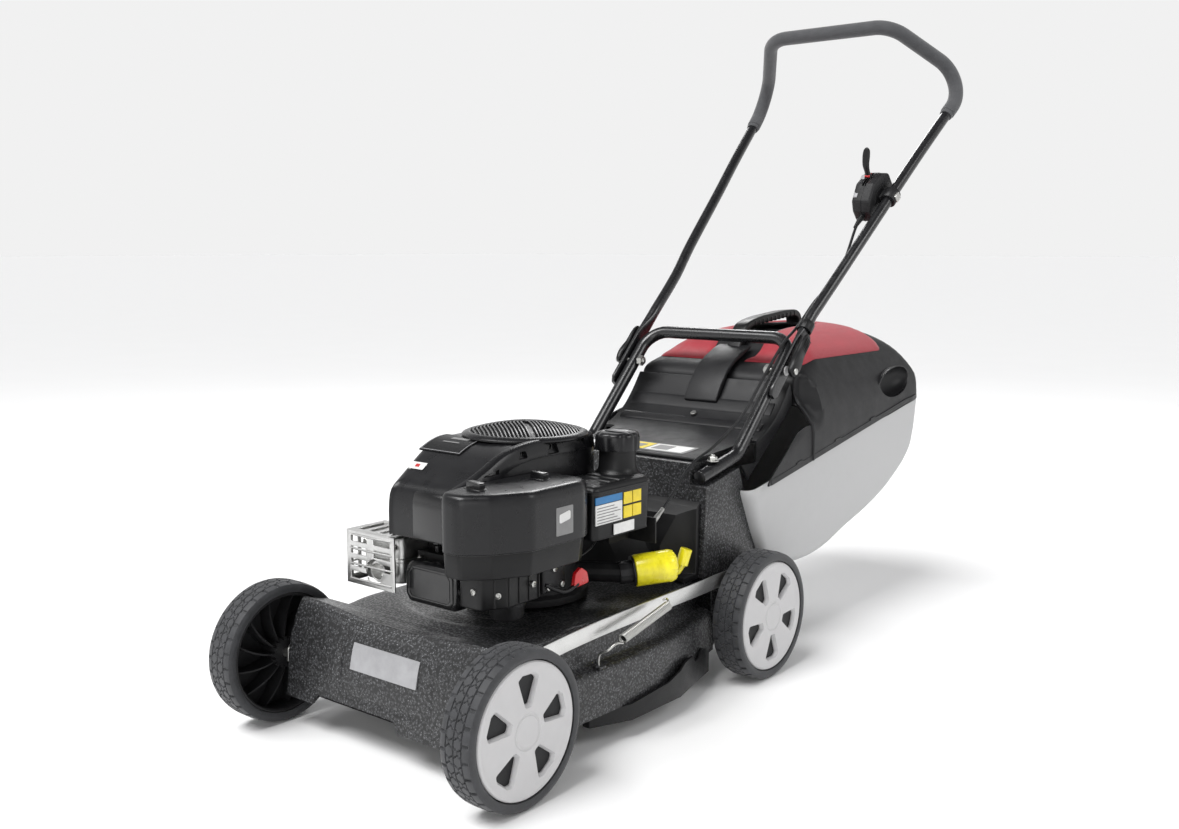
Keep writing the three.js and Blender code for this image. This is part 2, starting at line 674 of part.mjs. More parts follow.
// Domed screen over the flywheel fan, cut with a ring of air slots.
function starterGrille() {
  const seat = SHROUD_TOP + GAP;
  const dome = turned([[0, seat], [GRILLE_RADIUS, seat], [GRILLE_RADIUS, seat + 4], [70, seat + 12],
    [35, seat + 18], [0, seat + GRILLE_RISE]], vec(0, ENGINE_Y, 0), vec(0, 0, 1), 24);
  const slots = [];
  for (let i = 0; i < GRILLE_SLOTS; i++) {
    const slot = box([26, -5, seat - 5], [56, 5, seat + 30]);
    slots.push(slot.rotate([0, 0, (360 * (i + 0.5)) / GRILLE_SLOTS]).translate([0, ENGINE_Y, 0]));
  }
  return minus(dome, ...slots);
}

mower.add(piece('starter_grille', starterGrille(), material.charcoal));

const FILTER_TOP = 370;
const FILTER_PLAN = [[82, 22], [118, 22], [150, 52], [176, 102], [176, 205], [160, 232], [82, 232]];

function airFilterCover() {
  const ring = (shrink, z) => FILTER_PLAN.map(([x, y]) => {
    const inner = x === 82 ? 82 : 82 + (x - 82) * shrink;
    return vec(inner, 127 + (y - 127) * shrink, z);
  });
  const body = loft([ring(1, FILTER_SPLIT + GAP), ring(1, FILTER_TOP - 12), ring(0.93, FILTER_TOP - 2)]);
  const latch = (x, y) => box([x - 11, y - 5, FILTER_TOP - 10], [x + 11, y + 5, FILTER_TOP + 9]);
  return union(body, latch(104, 70), latch(118, 178));
}

mower.add(piece('air_filter_cover', airFilterCover(), material.charcoal));

function airFilterBase() {
  const tray = prism('z', FILTER_PLAN.map(([x, y]) => [82 + (x - 82) * 0.94, 127 + (y - 127) * 0.94]),
    FILTER_SPLIT - 34, FILTER_SPLIT);
  const throat = prism('z', [[88, 52], [128, 52], [146, 84], [146, 150], [88, 150]], 214, FILTER_SPLIT - 30);
  const bowl = rod(vec(118, 112, 188), vec(118, 112, 216), 24, 14);
  const carburettor = box([101, 166, 216], [140, 205, FILTER_SPLIT - 30]);
  return union(tray, throat, bowl, carburettor);
}

mower.add(piece('air_filter_base', airFilterBase(), material.black));

const CAP_CENTRE = new THREE.Vector2(108, 362);
const NECK_TOP = 384;

function fuelTank() {
  const plan = [[90, 240], [160, 240], [164, 250], [164, 366], [150, 380], [92, 380], [84, 350]];
  const low = plan.map(([x, y]) => [x === 164 ? 160 : x, y]);
  const ring = (points, z) => points.map(([x, y]) => vec(x, y, z));
  const shoulder = plan.map(([x, y]) => [124 + (x - 124) * 0.86, 310 + (y - 310) * 0.92]);
  const body = loft([ring(low, 274), ring(plan, 340), ring(shoulder, 350)]);
  const neck = turned([[0, 330], [31, 330], [31, 350], [26, 358], [26, NECK_TOP], [0, NECK_TOP]],
    vec(CAP_CENTRE.x, CAP_CENTRE.y, 0), vec(0, 0, 1), 18);
  const clear = loft([shroudRing(-1, -1, 10), shroudRing(0, 336, 22), shroudRing(11, 352, 0)]);
  return minus(union(body, neck), clear);
}

mower.add(piece('fuel_tank', fuelTank(), material.black));

function fuelCap() {
  const seat = NECK_TOP + GAP;
  return turned([[0, seat], [FUEL_CAP_RADIUS - 1, seat], [FUEL_CAP_RADIUS, seat + 6],
    [FUEL_CAP_RADIUS, seat + FUEL_CAP_HEIGHT - 6],
    [FUEL_CAP_RADIUS - 5, seat + FUEL_CAP_HEIGHT], [0, seat + FUEL_CAP_HEIGHT]],
      vec(CAP_CENTRE.x, CAP_CENTRE.y, 0), vec(0, 0, 1), 18);
}

mower.add(piece('fuel_cap', fuelCap(), material.charcoal));

const TAP = vec(146, 222, 226);

function fuelTap() {
  const barrel = rod(vec(TAP.x, TAP.y, TAP.z), vec(TAP.x + 10, TAP.y, TAP.z), 7, 10);
  const wing = box([TAP.x + 3, TAP.y - 14, TAP.z - 6], [TAP.x + 9, TAP.y + 14, TAP.z + 6]);
  return union(barrel, wing);
}

mower.add(piece('fuel_tap', fuelTap(), material.tapRed));

const MUFFLER_LEFT = -138;
const MUFFLER_RIGHT = -58;

function muffler() {
  const can = prism('z', [[MUFFLER_LEFT + 8, 84], [MUFFLER_RIGHT - 8, 84], [MUFFLER_RIGHT, 92],
    [MUFFLER_RIGHT, 150], [MUFFLER_LEFT, 150], [MUFFLER_LEFT, 92]], 208, 276);
  const port = box([MUFFLER_RIGHT - 5, 112, 214], [-50 - GAP, 126, 240]);
  const pipe = rod(vec(-86, 70, 228), vec(-86, 90, 228), 15, 14);
  return union(can, port, pipe);
}

mower.add(piece('muffler', muffler(), material.silver));

// Wire-form guard: a windowed front, side and slotted top round the muffler.
function mufflerGuard() {
  const [left, right, low, high] = [MUFFLER_LEFT - 6, -44, 205, 282];
  const shell = minus(
    box([left, 60, low], [right, 132, high]),
    box([left + 2.5, 62.5, low - 5], [right + 5, 140, high - 2.5]),
  );
  const windows = [];
  for (let column = 0; column < 2; column++) {
    for (let row = 0; row < 4; row++) {
      if (column === 1 && row === 0) continue;
      const x = left + 9 + column * 48;
      const z = low + 7 + row * 18;
      windows.push(box([x, 55, z], [x + 34, 66, z + 11]));
    }
  }
  for (let i = 0; i < 4; i++) {
    windows.push(box([left - 5, 70 + 15 * i, low + 10], [left + 5, 79 + 15 * i, high - 10]));
    windows.push(box([left + 12 + 22 * i, 72, high - 6], [left + 24 + 22 * i, 120, high + 5]));
  }
  const pipeHole = rod(vec(-86, 50, 228), vec(-86, 70, 228), 18, 14);
  return minus(shell, pipeHole, ...windows);
}

mower.add(piece('muffler_guard', mufflerGuard(), material.silver));

function sparkPlug() {
  return turned([[0, 0], [6, 0], [6, 10], [9, 12], [9, 30], [5, 34], [0, 34]],
    vec(-18, 119, 256 + GAP), vec(0, 0, 1), 10);
}

mower.add(piece('spark_plug', sparkPlug(), material.gloss));

function oilFilter() {
  const [r, l] = [OIL_FILTER_RADIUS, OIL_FILTER_LENGTH];
  return turned([[0, 0], [r, 0], [r, l - 6], [r - 5, l], [0, l]], OIL_FILTER_BASE, OIL_FILTER_AIM, 18);
}

mower.add(piece('oil_filter', oilFilter(), material.yellow));

// Yellow dipstick handle standing behind the oil filter on its filler tube.
function dipstick() {
  const foot = OIL_FILTER_END.clone().add(vec(-20, 30, -20));
  const tubePart = tube([vec(74, 352, 190), vec(110, 400, 186), foot, foot.clone().add(vec(6, 6, 14))], 6, 8);
  const grip = rod(foot.clone().add(vec(4, 4, 10)), foot.clone().add(vec(9, 9, 34)), 9.5, 10);
  const clear = rod(vec(0, ENGINE_Y, 100), vec(0, ENGINE_Y, 400), FLANGE_RADIUS + GAP, 28);
  return minus(union(tubePart, grip), clear);
}

mower.add(piece('dipstick', dipstick(), material.yellow));

const STARTER = vec(-114, 352, 342);

function starterHandle() {
  const aim = vec(0.55, 0.83, 0);
  return rod(STARTER.clone().addScaledVector(aim, -32), STARTER.clone().addScaledVector(aim, 32), 9, 10);
}

mower.add(piece('starter_handle', starterHandle(), material.black));

// ---------------------------------------------------------------- rotor and blades

const shaftLine = (low, high, radius) => rod(vec(0, ENGINE_Y, low), vec(0, ENGINE_Y, high), radius, 20);

mower.add(piece('crankshaft', shaftLine(BLADE_Z - 6, 352, SHAFT_RADIUS), material.steel));

function flywheel() {
  const wheel = turned([[0, 314], [FLYWHEEL_RADIUS, 314], [FLYWHEEL_RADIUS, 330], [30, 334], [0, 334]],
    vec(0, ENGINE_Y, 0), vec(0, 0, 1), 24);
  const fins = Array.from({ length: 8 }, (_, i) =>
    box([34, -2, 328], [FLYWHEEL_RADIUS - 6, 2, 350]).rotate([0, 0, 45 * i]).translate([0, ENGINE_Y, 0]));
  return minus(union(wheel, ...fins), shaftLine(300, 360, SHAFT_RADIUS + GAP));
}

mower.add(piece('flywheel', flywheel(), material.alloy));

const BLADE_PIVOT = BLADE_CIRCLE / 2 - BLADE_LENGTH + 20;

function bladeDisc() {
  const disc = turned([[0, BLADE_Z + 4], [DISC_RADIUS, BLADE_Z + 4], [DISC_RADIUS, BLADE_Z + 8],
    [70, BLADE_Z + 8], [50, BLADE_Z + 20], [0, BLADE_Z + 20]], vec(0, ENGINE_Y, 0), vec(0, 0, 1), 28);
  const bolt = (sign) => union(
    rod(vec(sign * BLADE_PIVOT, ENGINE_Y, BLADE_Z - 4), vec(sign * BLADE_PIVOT, ENGINE_Y, BLADE_Z + 6),
      5, 10),
    rod(vec(sign * BLADE_PIVOT, ENGINE_Y, BLADE_Z - 10),
      vec(sign * BLADE_PIVOT, ENGINE_Y, BLADE_Z - 3.5), 10, 6),
  );
  return minus(union(disc, bolt(1), bolt(-1)), shaftLine(BLADE_Z - 20, BLADE_Z + 40, SHAFT_RADIUS + GAP));
}

mower.add(piece('blade_disc', bladeDisc(), material.steel));

function bladeSolid() {
  const half = BLADE_WIDTH / 2;
  const tip = BLADE_CIRCLE / 2;
  const root = tip - BLADE_LENGTH;
  const outline = [[root, -half + 6], [root + 8, -half], [tip - 10, -half], [tip, -half + 12],
    [tip - 4, half], [root + 8, half], [root, half - 6]];
  const blade = prism('z', outline, BLADE_Z, BLADE_Z + 3);
  const wing = prism('y', [[tip - 50, BLADE_Z + 1], [tip - 8, BLADE_Z + 1], [tip - 8, BLADE_Z + 16],
    [tip - 50, BLADE_Z + 3]], half - 4, half - 1);
  const hole = rod(vec(BLADE_PIVOT, 0, BLADE_Z - 5), vec(BLADE_PIVOT, 0, BLADE_Z + 8), 5 + RUNNING, 10);
  return minus(union(blade, wing), hole).translate([0, ENGINE_Y, 0]);
}

mower.add(piece('blade_a', bladeSolid(), material.steel));
const turnedBlade = bladeSolid().translate([0, -ENGINE_Y, 0]).rotate([0, 0, 180]).translate([0, ENGINE_Y, 0]);
mower.add(piece('blade_b', turnedBlade, material.steel));

// ---------------------------------------------------------------- handle, written from the rear wheel axis

const LEG_TOP = new THREE.Vector2(194, 524);
const FOOT_END = new THREE.Vector2(-82, LEDGE_FRONT[1] + LOWER_TUBE + 5);
const BOLT_Y = -46;

// Height of the foot tube's middle line over the tunnel's ledge.
function footLine(y) {
  const share = (y - FOOT_END.x) / (LEG_FOOT.x - FOOT_END.x);
  return THREE.MathUtils.lerp(FOOT_END.y, LEG_FOOT.y - 4, share);
}

function lowerHandle() {
  const side = (sign) => [
    vec(sign * LEG_X, FOOT_END.x, FOOT_END.y),
    vec(sign * LEG_X, LEG_FOOT.x, LEG_FOOT.y - 4),
    vec(sign * LEG_X, LEG_TOP.x, LEG_TOP.y),
  ];
  const route = rounded([...side(1), ...side(-1).reverse()], 40);
  const bore = rod(vec(-200, PIVOT.x, PIVOT.y), vec(200, PIVOT.x, PIVOT.y), PIVOT_BOLT + RUNNING, 10);
  return minus(tube(route, LOWER_TUBE, 12), bore, ledgeClear());
}

// The tunnel's ledge with clearance, which flattens the underside of the handle's feet.
function ledgeClear() {
  const under = prism('x', [
    [LEDGE_FRONT[0], LEDGE_FRONT[1] + GAP],
    [LEDGE_REAR[0], LEDGE_REAR[1] + GAP],
    [LEDGE_REAR[0], 280],
    [LEDGE_FRONT[0], 280],
  ], LEDGE_X, TUNNEL_HALF);
  return union(under, mirrored(under));
}

tail.add(piece('lower_handle', lowerHandle(), material.tube));

for (const [side, sign] of SIDES) {
  const top = vec(sign * LEG_X, BOLT_Y, footLine(BOLT_Y) + LOWER_TUBE + 3);
  const head = union(rod(top, top.clone().add(vec(0, 0, 4)), 9, 12),
    rod(top, top.clone().add(vec(0, 0, 11)), 6.5, 6));
  tail.add(piece(`handle_bolt_${side}`, head, material.silver));
  const bolt = union(
    rod(vec(LEG_X - LOWER_TUBE - 10, PIVOT.x, PIVOT.y), vec(LEG_X - LOWER_TUBE - 1, PIVOT.x, PIVOT.y), 9, 6),
    rod(vec(LEG_X - LOWER_TUBE - 5, PIVOT.x, PIVOT.y), vec(FLAT_X + FLAT_END + 2, PIVOT.x, PIVOT.y),
      PIVOT_BOLT, 10),
  );
  tail.add(piece(`pivot_bolt_${side}`, onSide(bolt, sign), material.silver));
}

// Left half of the upper handle's line, from the flattened foot to the corner of the top bar.
const UPPER_LINE = [
  vec(UPPER_X, 186, 520),
  vec(UPPER_X, 228, 562),
  vec(171, 300, 623),
  vec(180, 361, 681),
  vec(193, 473, 782),
  vec(203, 550, 852),
  vec(214, 637, 928),
];
const SHOULDER = vec(225, 711, 993);
const TOP_CORNER = vec(129, 563, 1088);
const acrossX = (p) => vec(-p.x, p.y, p.z);

function gripRoute() {
  const half = [UPPER_LINE.at(-1), SHOULDER, TOP_CORNER];
  return rounded([...half, ...half.map(acrossX).reverse()], 36);
}

function upperHandle() {
  const legs = UPPER_LINE.slice(0, -1);
  const bend = gripRoute();
  const route = [...legs, ...bend, ...legs.map(acrossX).reverse()];
  const along = new THREE.Vector2(1, LEG_SLOPE).normalize();
  const flatFoot = (back, on, half) => {
    const across = new THREE.Vector2(-along.y, along.x).multiplyScalar(half);
    const [a, b] = [-back, on].map((d) => along.clone().multiplyScalar(d).add(PIVOT));
    return [[a.x + across.x, a.y + across.y], [a.x - across.x, a.y - across.y],
      [b.x - across.x, b.y - across.y], [b.x + across.x, b.y + across.y]];
  };
  const foot = prism('x', flatFoot(56, 76, 12), FLAT_X, FLAT_X + FLAT_END);
  const bore = rod(vec(-220, PIVOT.x, PIVOT.y), vec(220, PIVOT.x, PIVOT.y), PIVOT_BOLT + RUNNING, 10);
  return minus(union(tube(route, UPPER_TUBE, 10), foot, mirrored(foot)), bore);
}

tail.add(piece('upper_handle', upperHandle(), material.tube));

function gripSleeve() {
  const route = gripRoute();
  return minus(tube(route, GRIP_RADIUS, TUBE_SIDES), tube(route, roomFor(UPPER_TUBE), TUBE_SIDES));
}

tail.add(piece('handle_grip', gripSleeve(), material.foam));

// Over-centre cam lever that lies up the outside of each handle joint.
function camLever() {
  const along = vec(0, 1, LEG_SLOPE).normalize();
  const across = vec(0, -along.z, along.y);
  const foot = vec(0, PIVOT.x, PIVOT.y);
  const inner = FLAT_X + FLAT_END + 2 + GAP;
  const section = ([d, half, x0, x1]) => {
    const middle = foot.clone().addScaledVector(along, d);
    const corner = (x, s) => vec(x, 0, 0).add(middle).addScaledVector(across, s * half);
    return [corner(x0, -1), corner(x1, -1), corner(x1, 1), corner(x0, 1)];
  };
  return loft([
    [-7.5, 8, inner + 5.6, inner + 11],
    [-4, 12, inner + 1.3, inner + 15],
    [0, 12.5, inner, inner + 16],
    [10, 13, inner, inner + 16],
    [34, 10, inner + 3, inner + 13],
    [58, 11, inner + 5, inner + 12],
    [CAM_LEVER, 7, inner + 6, inner + 10],
  ].map(section));
}

for (const [side, sign] of SIDES) {
  tail.add(piece(`cam_lever_${side}`, onSide(camLever(), sign), material.black));
}

// Throttle control: a pod inboard of the left leg, clamped round the tube, with a lever on top.
const POD_A = UPPER_LINE[3];
const POD_B = UPPER_LINE[4];
const POD_AXIS = POD_B.clone().sub(POD_A).normalize();
const POD_CENTRE = POD_A.clone().lerp(POD_B, 0.86);

function throttleFrame() {
  const back = POD_AXIS;
  const left = vec(1, 0, 0).addScaledVector(back, -back.x).normalize();
  const up = left.clone().cross(back);
  return new THREE.Matrix4().makeBasis(left, back, up).setPosition(POD_CENTRE);
}

function inFrame(made) {
  return made.transform(throttleFrame().elements);
}

function throttleBody() {
  const pod = prism('x', [[-48, -22], [30, -22], [42, -8], [42, 20], [22, 36], [-10, 38], [-40, 22],
    [-48, 4]], -54, -UPPER_TUBE - 6);
  const collar = union(
    rod(vec(0, -12, 0), vec(0, 12, 0), UPPER_TUBE + 5, 14),
    box([-UPPER_TUBE - 10, -12, -10], [0, 12, 10]),
  );
  const bore = rod(vec(0, -30, 0), vec(0, 30, 0), roomFor(UPPER_TUBE), 14);
  return inFrame(minus(union(pod, collar), bore));
}

const LEVER_FOOT = vec(-36, 8, 40);

function throttleLever() {
  const half = 7;
  const ring = (y, z, t) => [[-half, -t], [half, -t], [half, t],
    [-half, t]].map(([x, dy]) => vec(LEVER_FOOT.x + x, y + dy, z));
  return inFrame(loft([ring(8, 40, 5), ring(12, 62, 3.5), ring(30, 86, 3)]));
}

tail.add(piece('throttle_body', throttleBody(), material.charcoal));
tail.add(piece('throttle_lever', throttleLever(), material.black));

// Collar that ties the throttle cable to the left leg.
const CLIP_Y = 228;
const CABLE_X = LEG_X - 1;

function cableClip() {
  const at = UPPER_LINE[0].clone().lerp(UPPER_LINE[1], 0.55);
  const up = at.clone().sub(UPPER_LINE[0]).normalize();
  const ends = [at.clone().addScaledVector(up, -9), at.clone().addScaledVector(up, 9)];
  const ring = rod(ends[0], ends[1], UPPER_TUBE + 3.5, 12);
  const bore = rod(ends[0].clone().addScaledVector(up, -20), ends[1].clone().addScaledVector(up, 30),
    roomFor(UPPER_TUBE), 12);
  return minus(ring, bore, cableSolid(GAP));
}

// The cable's route from the throttle pod, past the clip and over the lower handle, to its stop on the engine.
function cableRoute() {
  const podExit = vec(-36, -48 - GAP, -6).applyMatrix4(throttleFrame());
  return [
    podExit,
    podExit.clone().add(vec(-1, -22, -22)),
    vec(157, 352, 652),
    vec(153, 302, 610),
    vec(CABLE_X, 262, 582),
    vec(CABLE_X - 1, CLIP_Y, 556),
    vec(CABLE_X - 1, 204, 540),
    vec(CABLE_X - 1, 164, 517),
    vec(CABLE_X - 1, 104, 466),
    vec(CABLE_X, 44, 412),
    vec(CABLE_X - 7, 8, 384),
    vec(CABLE_X - 12, -30, 363),
    vec(CABLE_X - 12, -70, 351),
    vec(CABLE_X - 10, -105, 334),
    vec(CABLE_STOP.x - 4, -150, 306),
    CABLE_STOP.clone().add(vec(0, -WHEEL_BASE + GAP, 0)),
  ];
}

function cableSolid(grow) {
  const curve = new THREE.CatmullRomCurve3(cableRoute());
  return tube(curve.getPoints(32), CABLE_RADIUS + grow, 8);
}

tail.add(piece('cable_clip', cableClip(), material.black));
tail.add(piece('throttle_cable', cableSolid(0), material.cable));

// ---------------------------------------------------------------- flap

const TAB_HALF = 34;
const SEAM_LOW = [44, 302];
const SEAM_MID = [182, 414];
const SEAM_TOP = [172, 452];

function rearFlap() {
  const top = [[-68, 351], [54, 360], [124, 396], SEAM_TOP];
  const half = LEG_X + LOWER_TUBE - 2;
  const outer = prism('x', [[-68, TUNNEL_TOP + GAP], [3, TUNNEL_TOP + GAP], [20, 338], SEAM_LOW,
    SEAM_MID, ...top.toReversed()], -half, half);
  const under = top.map(([y, z]) => [y + 2, z - FLAP_WALL]);
  const inner = prism('x', [[5, TUNNEL_TOP - 30], [5, TUNNEL_TOP + GAP + 2], ...under.slice(1, 3),
    [SEAM_TOP[0] - 2, SEAM_TOP[1] - 8],
    [SEAM_MID[0] + 10, SEAM_MID[1] - 6], [SEAM_LOW[0] + 10, SEAM_LOW[1] - 20]], FLAP_WALL - half,
      half - FLAP_WALL);
  const tab = prism('x', [[150, 424], [172, 456], [200, 475], [246, 497], [248, 504], [198, 484],
    [164, 458], [150, 440]], -TAB_HALF, TAB_HALF);
  const feet = box([LEDGE_X, -100, 330], [TUNNEL_HALF + 5, 68, 380]);
  return minus(union(minus(outer, inner), tab), feet, mirrored(feet));
}

tail.add(piece('rear_flap', rearFlap(), material.charcoal));

// ---------------------------------------------------------------- catcher

const RIM_FRONT = [10, 289];
const RIM_REAR = [536, 382];
const BIN_REAR = 604;

// Cross-section of the lid's arch as (x, z), raised or grown by a margin.
function archSection(grow) {
  const half = CATCHER_HALF;
  const side = [[half, 260], [half - 2, 400], [half - 12, 430], [half - 44, 478], [half - 94, 518],
    [50, 536]];
  const right = side.map(([x, z]) => [x + grow, z + grow * (z > 300 ? 1 : 0)]);
  return [...right, ...right.map(([x, z]) => [-x, z]).reverse()];
}

const LID_TOP = [[200, 469], [252, 493], [272, 514], [335, 532], [465, 536], [548, 520], [590, 480],
  [604, 430], [596, 392]];

// Half width, front, rear and floor of the recess under the carrying handle.
const HAND_RECESS = [44, 272, 428, 498];

function catcherTop() {
  const rimLift = 1;
  const base = [RIM_REAR, RIM_FRONT].map(([y, z]) => [y, z + rimLift]);
  const outline = [[SEAM_LOW[0] + 3, SEAM_LOW[1] - 3], [SEAM_MID[0] + 4, SEAM_MID[1]],
    [SEAM_TOP[0] + 4, SEAM_TOP[1] + 1], ...LID_TOP, ...base];
  const outer = prism('x', outline, -CATCHER_HALF - 5,
    CATCHER_HALF + 5).intersect(prism('y', archSection(0), -50, 700));
  const hollow = LID_TOP.map(([y, z]) => [y > 500 ? y - CATCHER_WALL : y, z - CATCHER_WALL]);
  const inner = prism('x', [[-40, 250], [-40, 300], [SEAM_LOW[0] - 10, SEAM_LOW[1] + 5],
    [SEAM_MID[0] - 6, SEAM_MID[1] + 4],
    [SEAM_TOP[0] - 6, SEAM_TOP[1] - 3], ...hollow, [590, 250]], -300, 300)
    .intersect(prism('y', archSection(-CATCHER_WALL), -60, 710));
  const legClear = box([LEG_X + LOWER_TUBE - 1, 90, 404], [CATCHER_HALF + 20, 208, 560]);
  const [recessHalf, recessFront, recessRear, recessFloor] = HAND_RECESS;
  const wall = CATCHER_WALL;
  const tray = box([-recessHalf - wall, recessFront - wall, recessFloor - wall],
    [recessHalf + wall, recessRear + wall, 532]);
  const recess = box([-recessHalf, recessFront, recessFloor], [recessHalf, recessRear, 600]);
  const bar = box([-13, 252, 540], [13, 446, 556]);
  const posts = union(box([-12, 252, 500], [12, 266, 548]), box([-12, 432, 528], [12, 446, 548]));
  const lid = union(minus(outer, inner, legClear, mirrored(legClear)), tray.intersect(outer));
  return union(minus(lid, recess), minus(union(bar, posts), inner));
}

tail.add(piece('catcher_top', catcherTop(), material.charcoal));

// Red vent panel laid over the lid's arch either side of the carrying handle.
function catcherVent() {
  const skin = (lift) => {
    const line = [[150, 420 + lift], ...LID_TOP.slice(0, 6).map(([y, z]) => [y, z + lift]),
      [560, 420 + lift]];
    return prism('x', line, -200, 200).intersect(prism('y', archSection(lift), 150, 560));
  };
  const band = box([-152, 216, 400], [152, 528, 600]);
  const [recessHalf] = HAND_RECESS;
  const handle = box([-recessHalf - 4, 240, 460], [recessHalf + 4, 456, 600]);
  const tab = box([-TAB_HALF - 3, 200, 440], [TAB_HALF + 3, 254, 600]);
  const shell = minus(skin(GAP + VENT_WALL), skin(GAP)).intersect(band);
  return minus(shell, handle, tab);
}

tail.add(piece('catcher_vent', catcherVent(), material.red));

function catcherBin() {
  const outline = [RIM_FRONT, RIM_REAR, [BIN_REAR, 350], [596, 294], [498, 219], [350, 171], [230, 141],
    [110, 150], [62, 184]];
  const taper = (inset) => [[CATCHER_HALF - 4 - inset, 400], [-CATCHER_HALF + 4 + inset, 400],
    [-CATCHER_HALF + 25 + inset, 120], [CATCHER_HALF - 25 - inset, 120]];
  const outer = prism('x', outline, -CATCHER_HALF, CATCHER_HALF).intersect(prism('y', taper(0), 0, 620));
  const w = CATCHER_WALL;
  const hollow = [[-20, 290], [-20, 420], [RIM_REAR[0] - w, 420], [RIM_REAR[0] - w, RIM_REAR[1] - 8],
    [BIN_REAR - w - 2, 344], [594 - w, 296],
    [496, 219 + w], [349, 171 + w], [230, 141 + w], [111, 150 + w], [62 - w, 186]];
  const inner = prism('x', hollow, -300, 300).intersect(prism('y', taper(w), -30, 640));
  return minus(outer, inner);
}

tail.add(piece('catcher_bin', catcherBin(), material.bin));

// ---------------------------------------------------------------- origin

// The origin is the middle of the mower's footprint, on the ground.
const bounds = new THREE.Box3().setFromObject(mower);
mower.position.y = -(bounds.min.y + bounds.max.y) / 2;

const lawnMower = new THREE.Group();
lawnMower.add(mower);

export default lawnMower;
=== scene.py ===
import json
import math

import bmesh
import bpy
from mathutils import Matrix, Vector

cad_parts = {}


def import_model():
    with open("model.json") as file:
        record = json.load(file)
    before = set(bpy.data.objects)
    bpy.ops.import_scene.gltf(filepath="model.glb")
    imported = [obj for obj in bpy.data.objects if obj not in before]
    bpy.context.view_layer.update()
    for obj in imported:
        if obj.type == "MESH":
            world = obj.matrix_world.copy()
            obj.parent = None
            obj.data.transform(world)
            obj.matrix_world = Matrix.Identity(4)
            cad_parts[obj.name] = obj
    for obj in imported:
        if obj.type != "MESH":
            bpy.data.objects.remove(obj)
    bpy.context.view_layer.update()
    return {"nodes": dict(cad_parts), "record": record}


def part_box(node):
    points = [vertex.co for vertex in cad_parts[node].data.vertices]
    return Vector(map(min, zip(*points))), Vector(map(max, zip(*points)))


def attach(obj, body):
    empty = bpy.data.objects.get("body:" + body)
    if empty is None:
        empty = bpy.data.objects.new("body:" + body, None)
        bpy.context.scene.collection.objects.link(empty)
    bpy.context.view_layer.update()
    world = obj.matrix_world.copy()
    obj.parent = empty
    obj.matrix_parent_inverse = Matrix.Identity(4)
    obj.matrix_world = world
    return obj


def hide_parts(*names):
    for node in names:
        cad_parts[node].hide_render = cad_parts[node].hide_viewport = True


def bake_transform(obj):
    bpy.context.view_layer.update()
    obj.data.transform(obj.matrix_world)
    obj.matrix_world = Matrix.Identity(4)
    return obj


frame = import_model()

MM = 0.001
X, Y, Z = Vector((1, 0, 0)), Vector((0, 1, 0)), Vector((0, 0, 1))
SIDES = (("left", 1), ("right", -1))


def middle(node):
    low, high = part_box(node)
    return (low + high) / 2


FRONT_Y = middle("front_tyre_left").y / MM
REAR_Y = middle("rear_tyre_left").y / MM
BODY_OF = {node: body for body, nodes in frame["record"]["behaviour"]["bodies"].items() for node in nodes}
SLOT_OF = {part["node"]: part["material_slot"] for part in frame["record"]["subparts"]}


def vec(x, y, z):
    return Vector((x, y, z))


def mix(a, b, t):
    return a + (b - a) * t


def ease(t):
    t = min(max(t, 0.0), 1.0)
    return t * t * (3 - 2 * t)


# ---------------------------------------------------------------- materials


class Nodes:
    """A material's node tree with short ways to add to it."""

    def __init__(self, name):
        self.material = bpy.data.materials.new(name)
        self.material.use_nodes = True
        self.tree = self.material.node_tree
        self.shader = self.tree.nodes["Principled BSDF"]
        self.place = self.tree.nodes.new("ShaderNodeTexCoord").outputs["Object"]

    def add(self, kind, inputs=(), **settings):
        node = self.tree.nodes.new(kind)
        for key, value in settings.items():
            setattr(node, key, value)
        for key, value in dict(inputs).items():
            if isinstance(value, bpy.types.NodeSocket):
                self.tree.links.new(value, node.inputs[key])
            else:
                node.inputs[key].default_value = value
        return node

    def noise(self, scale, detail=3.0, roughness=0.55, stretch=None):
        place = self.place
        if stretch:
            place = self.add("ShaderNodeMapping", {"Vector": place, "Scale": stretch}).outputs[0]
        inputs = {"Vector": place, "Scale": scale, "Detail": detail, "Roughness": roughness}
        return self.add("ShaderNodeTexNoise", inputs).outputs["Fac"]

    def cells(self, scale, feature="F1", spread=1.0):
        inputs = {"Vector": self.place, "Scale": scale, "Randomness": spread}
        return self.add("ShaderNodeTexVoronoi", inputs, feature=feature)

    def remap(self, value, low, high, to_low=0.0, to_high=1.0):
        inputs = {"Value": value, "From Min": low, "From Max": high, "To Min": to_low, "To Max": to_high}
        return self.add("ShaderNodeMapRange", inputs).outputs[0]

    def blend(self, amount, a, b):
        node = self.add("ShaderNodeMix", {"Factor": amount}, data_type="RGBA")
        for index, value in ((6, a), (7, b)):
            if isinstance(value, bpy.types.NodeSocket):
                self.tree.links.new(value, node.inputs[index])
            else:
                node.inputs[index].default_value = (*value, 1.0)
        return node.outputs[2]

    def bump(self, height, distance, strength=1.0, below=None):
        inputs = {"Height": height, "Distance": distance, "Strength": strength}
        if below is not None:
            inputs["Normal"] = below
        return self.add("ShaderNodeBump", inputs).outputs[0]

    def connect(self, **outputs):
        for key, value in outputs.items():
            self.tree.links.new(value, self.shader.inputs[key.replace("_", " ")])

    def fixed(self, **values):
        for key, value in values.items():
            self.shader.inputs[key.replace("_", " ")].default_value = value


def tinted(color, gain):
    return tuple(min(c * gain, 1.0) for c in color)


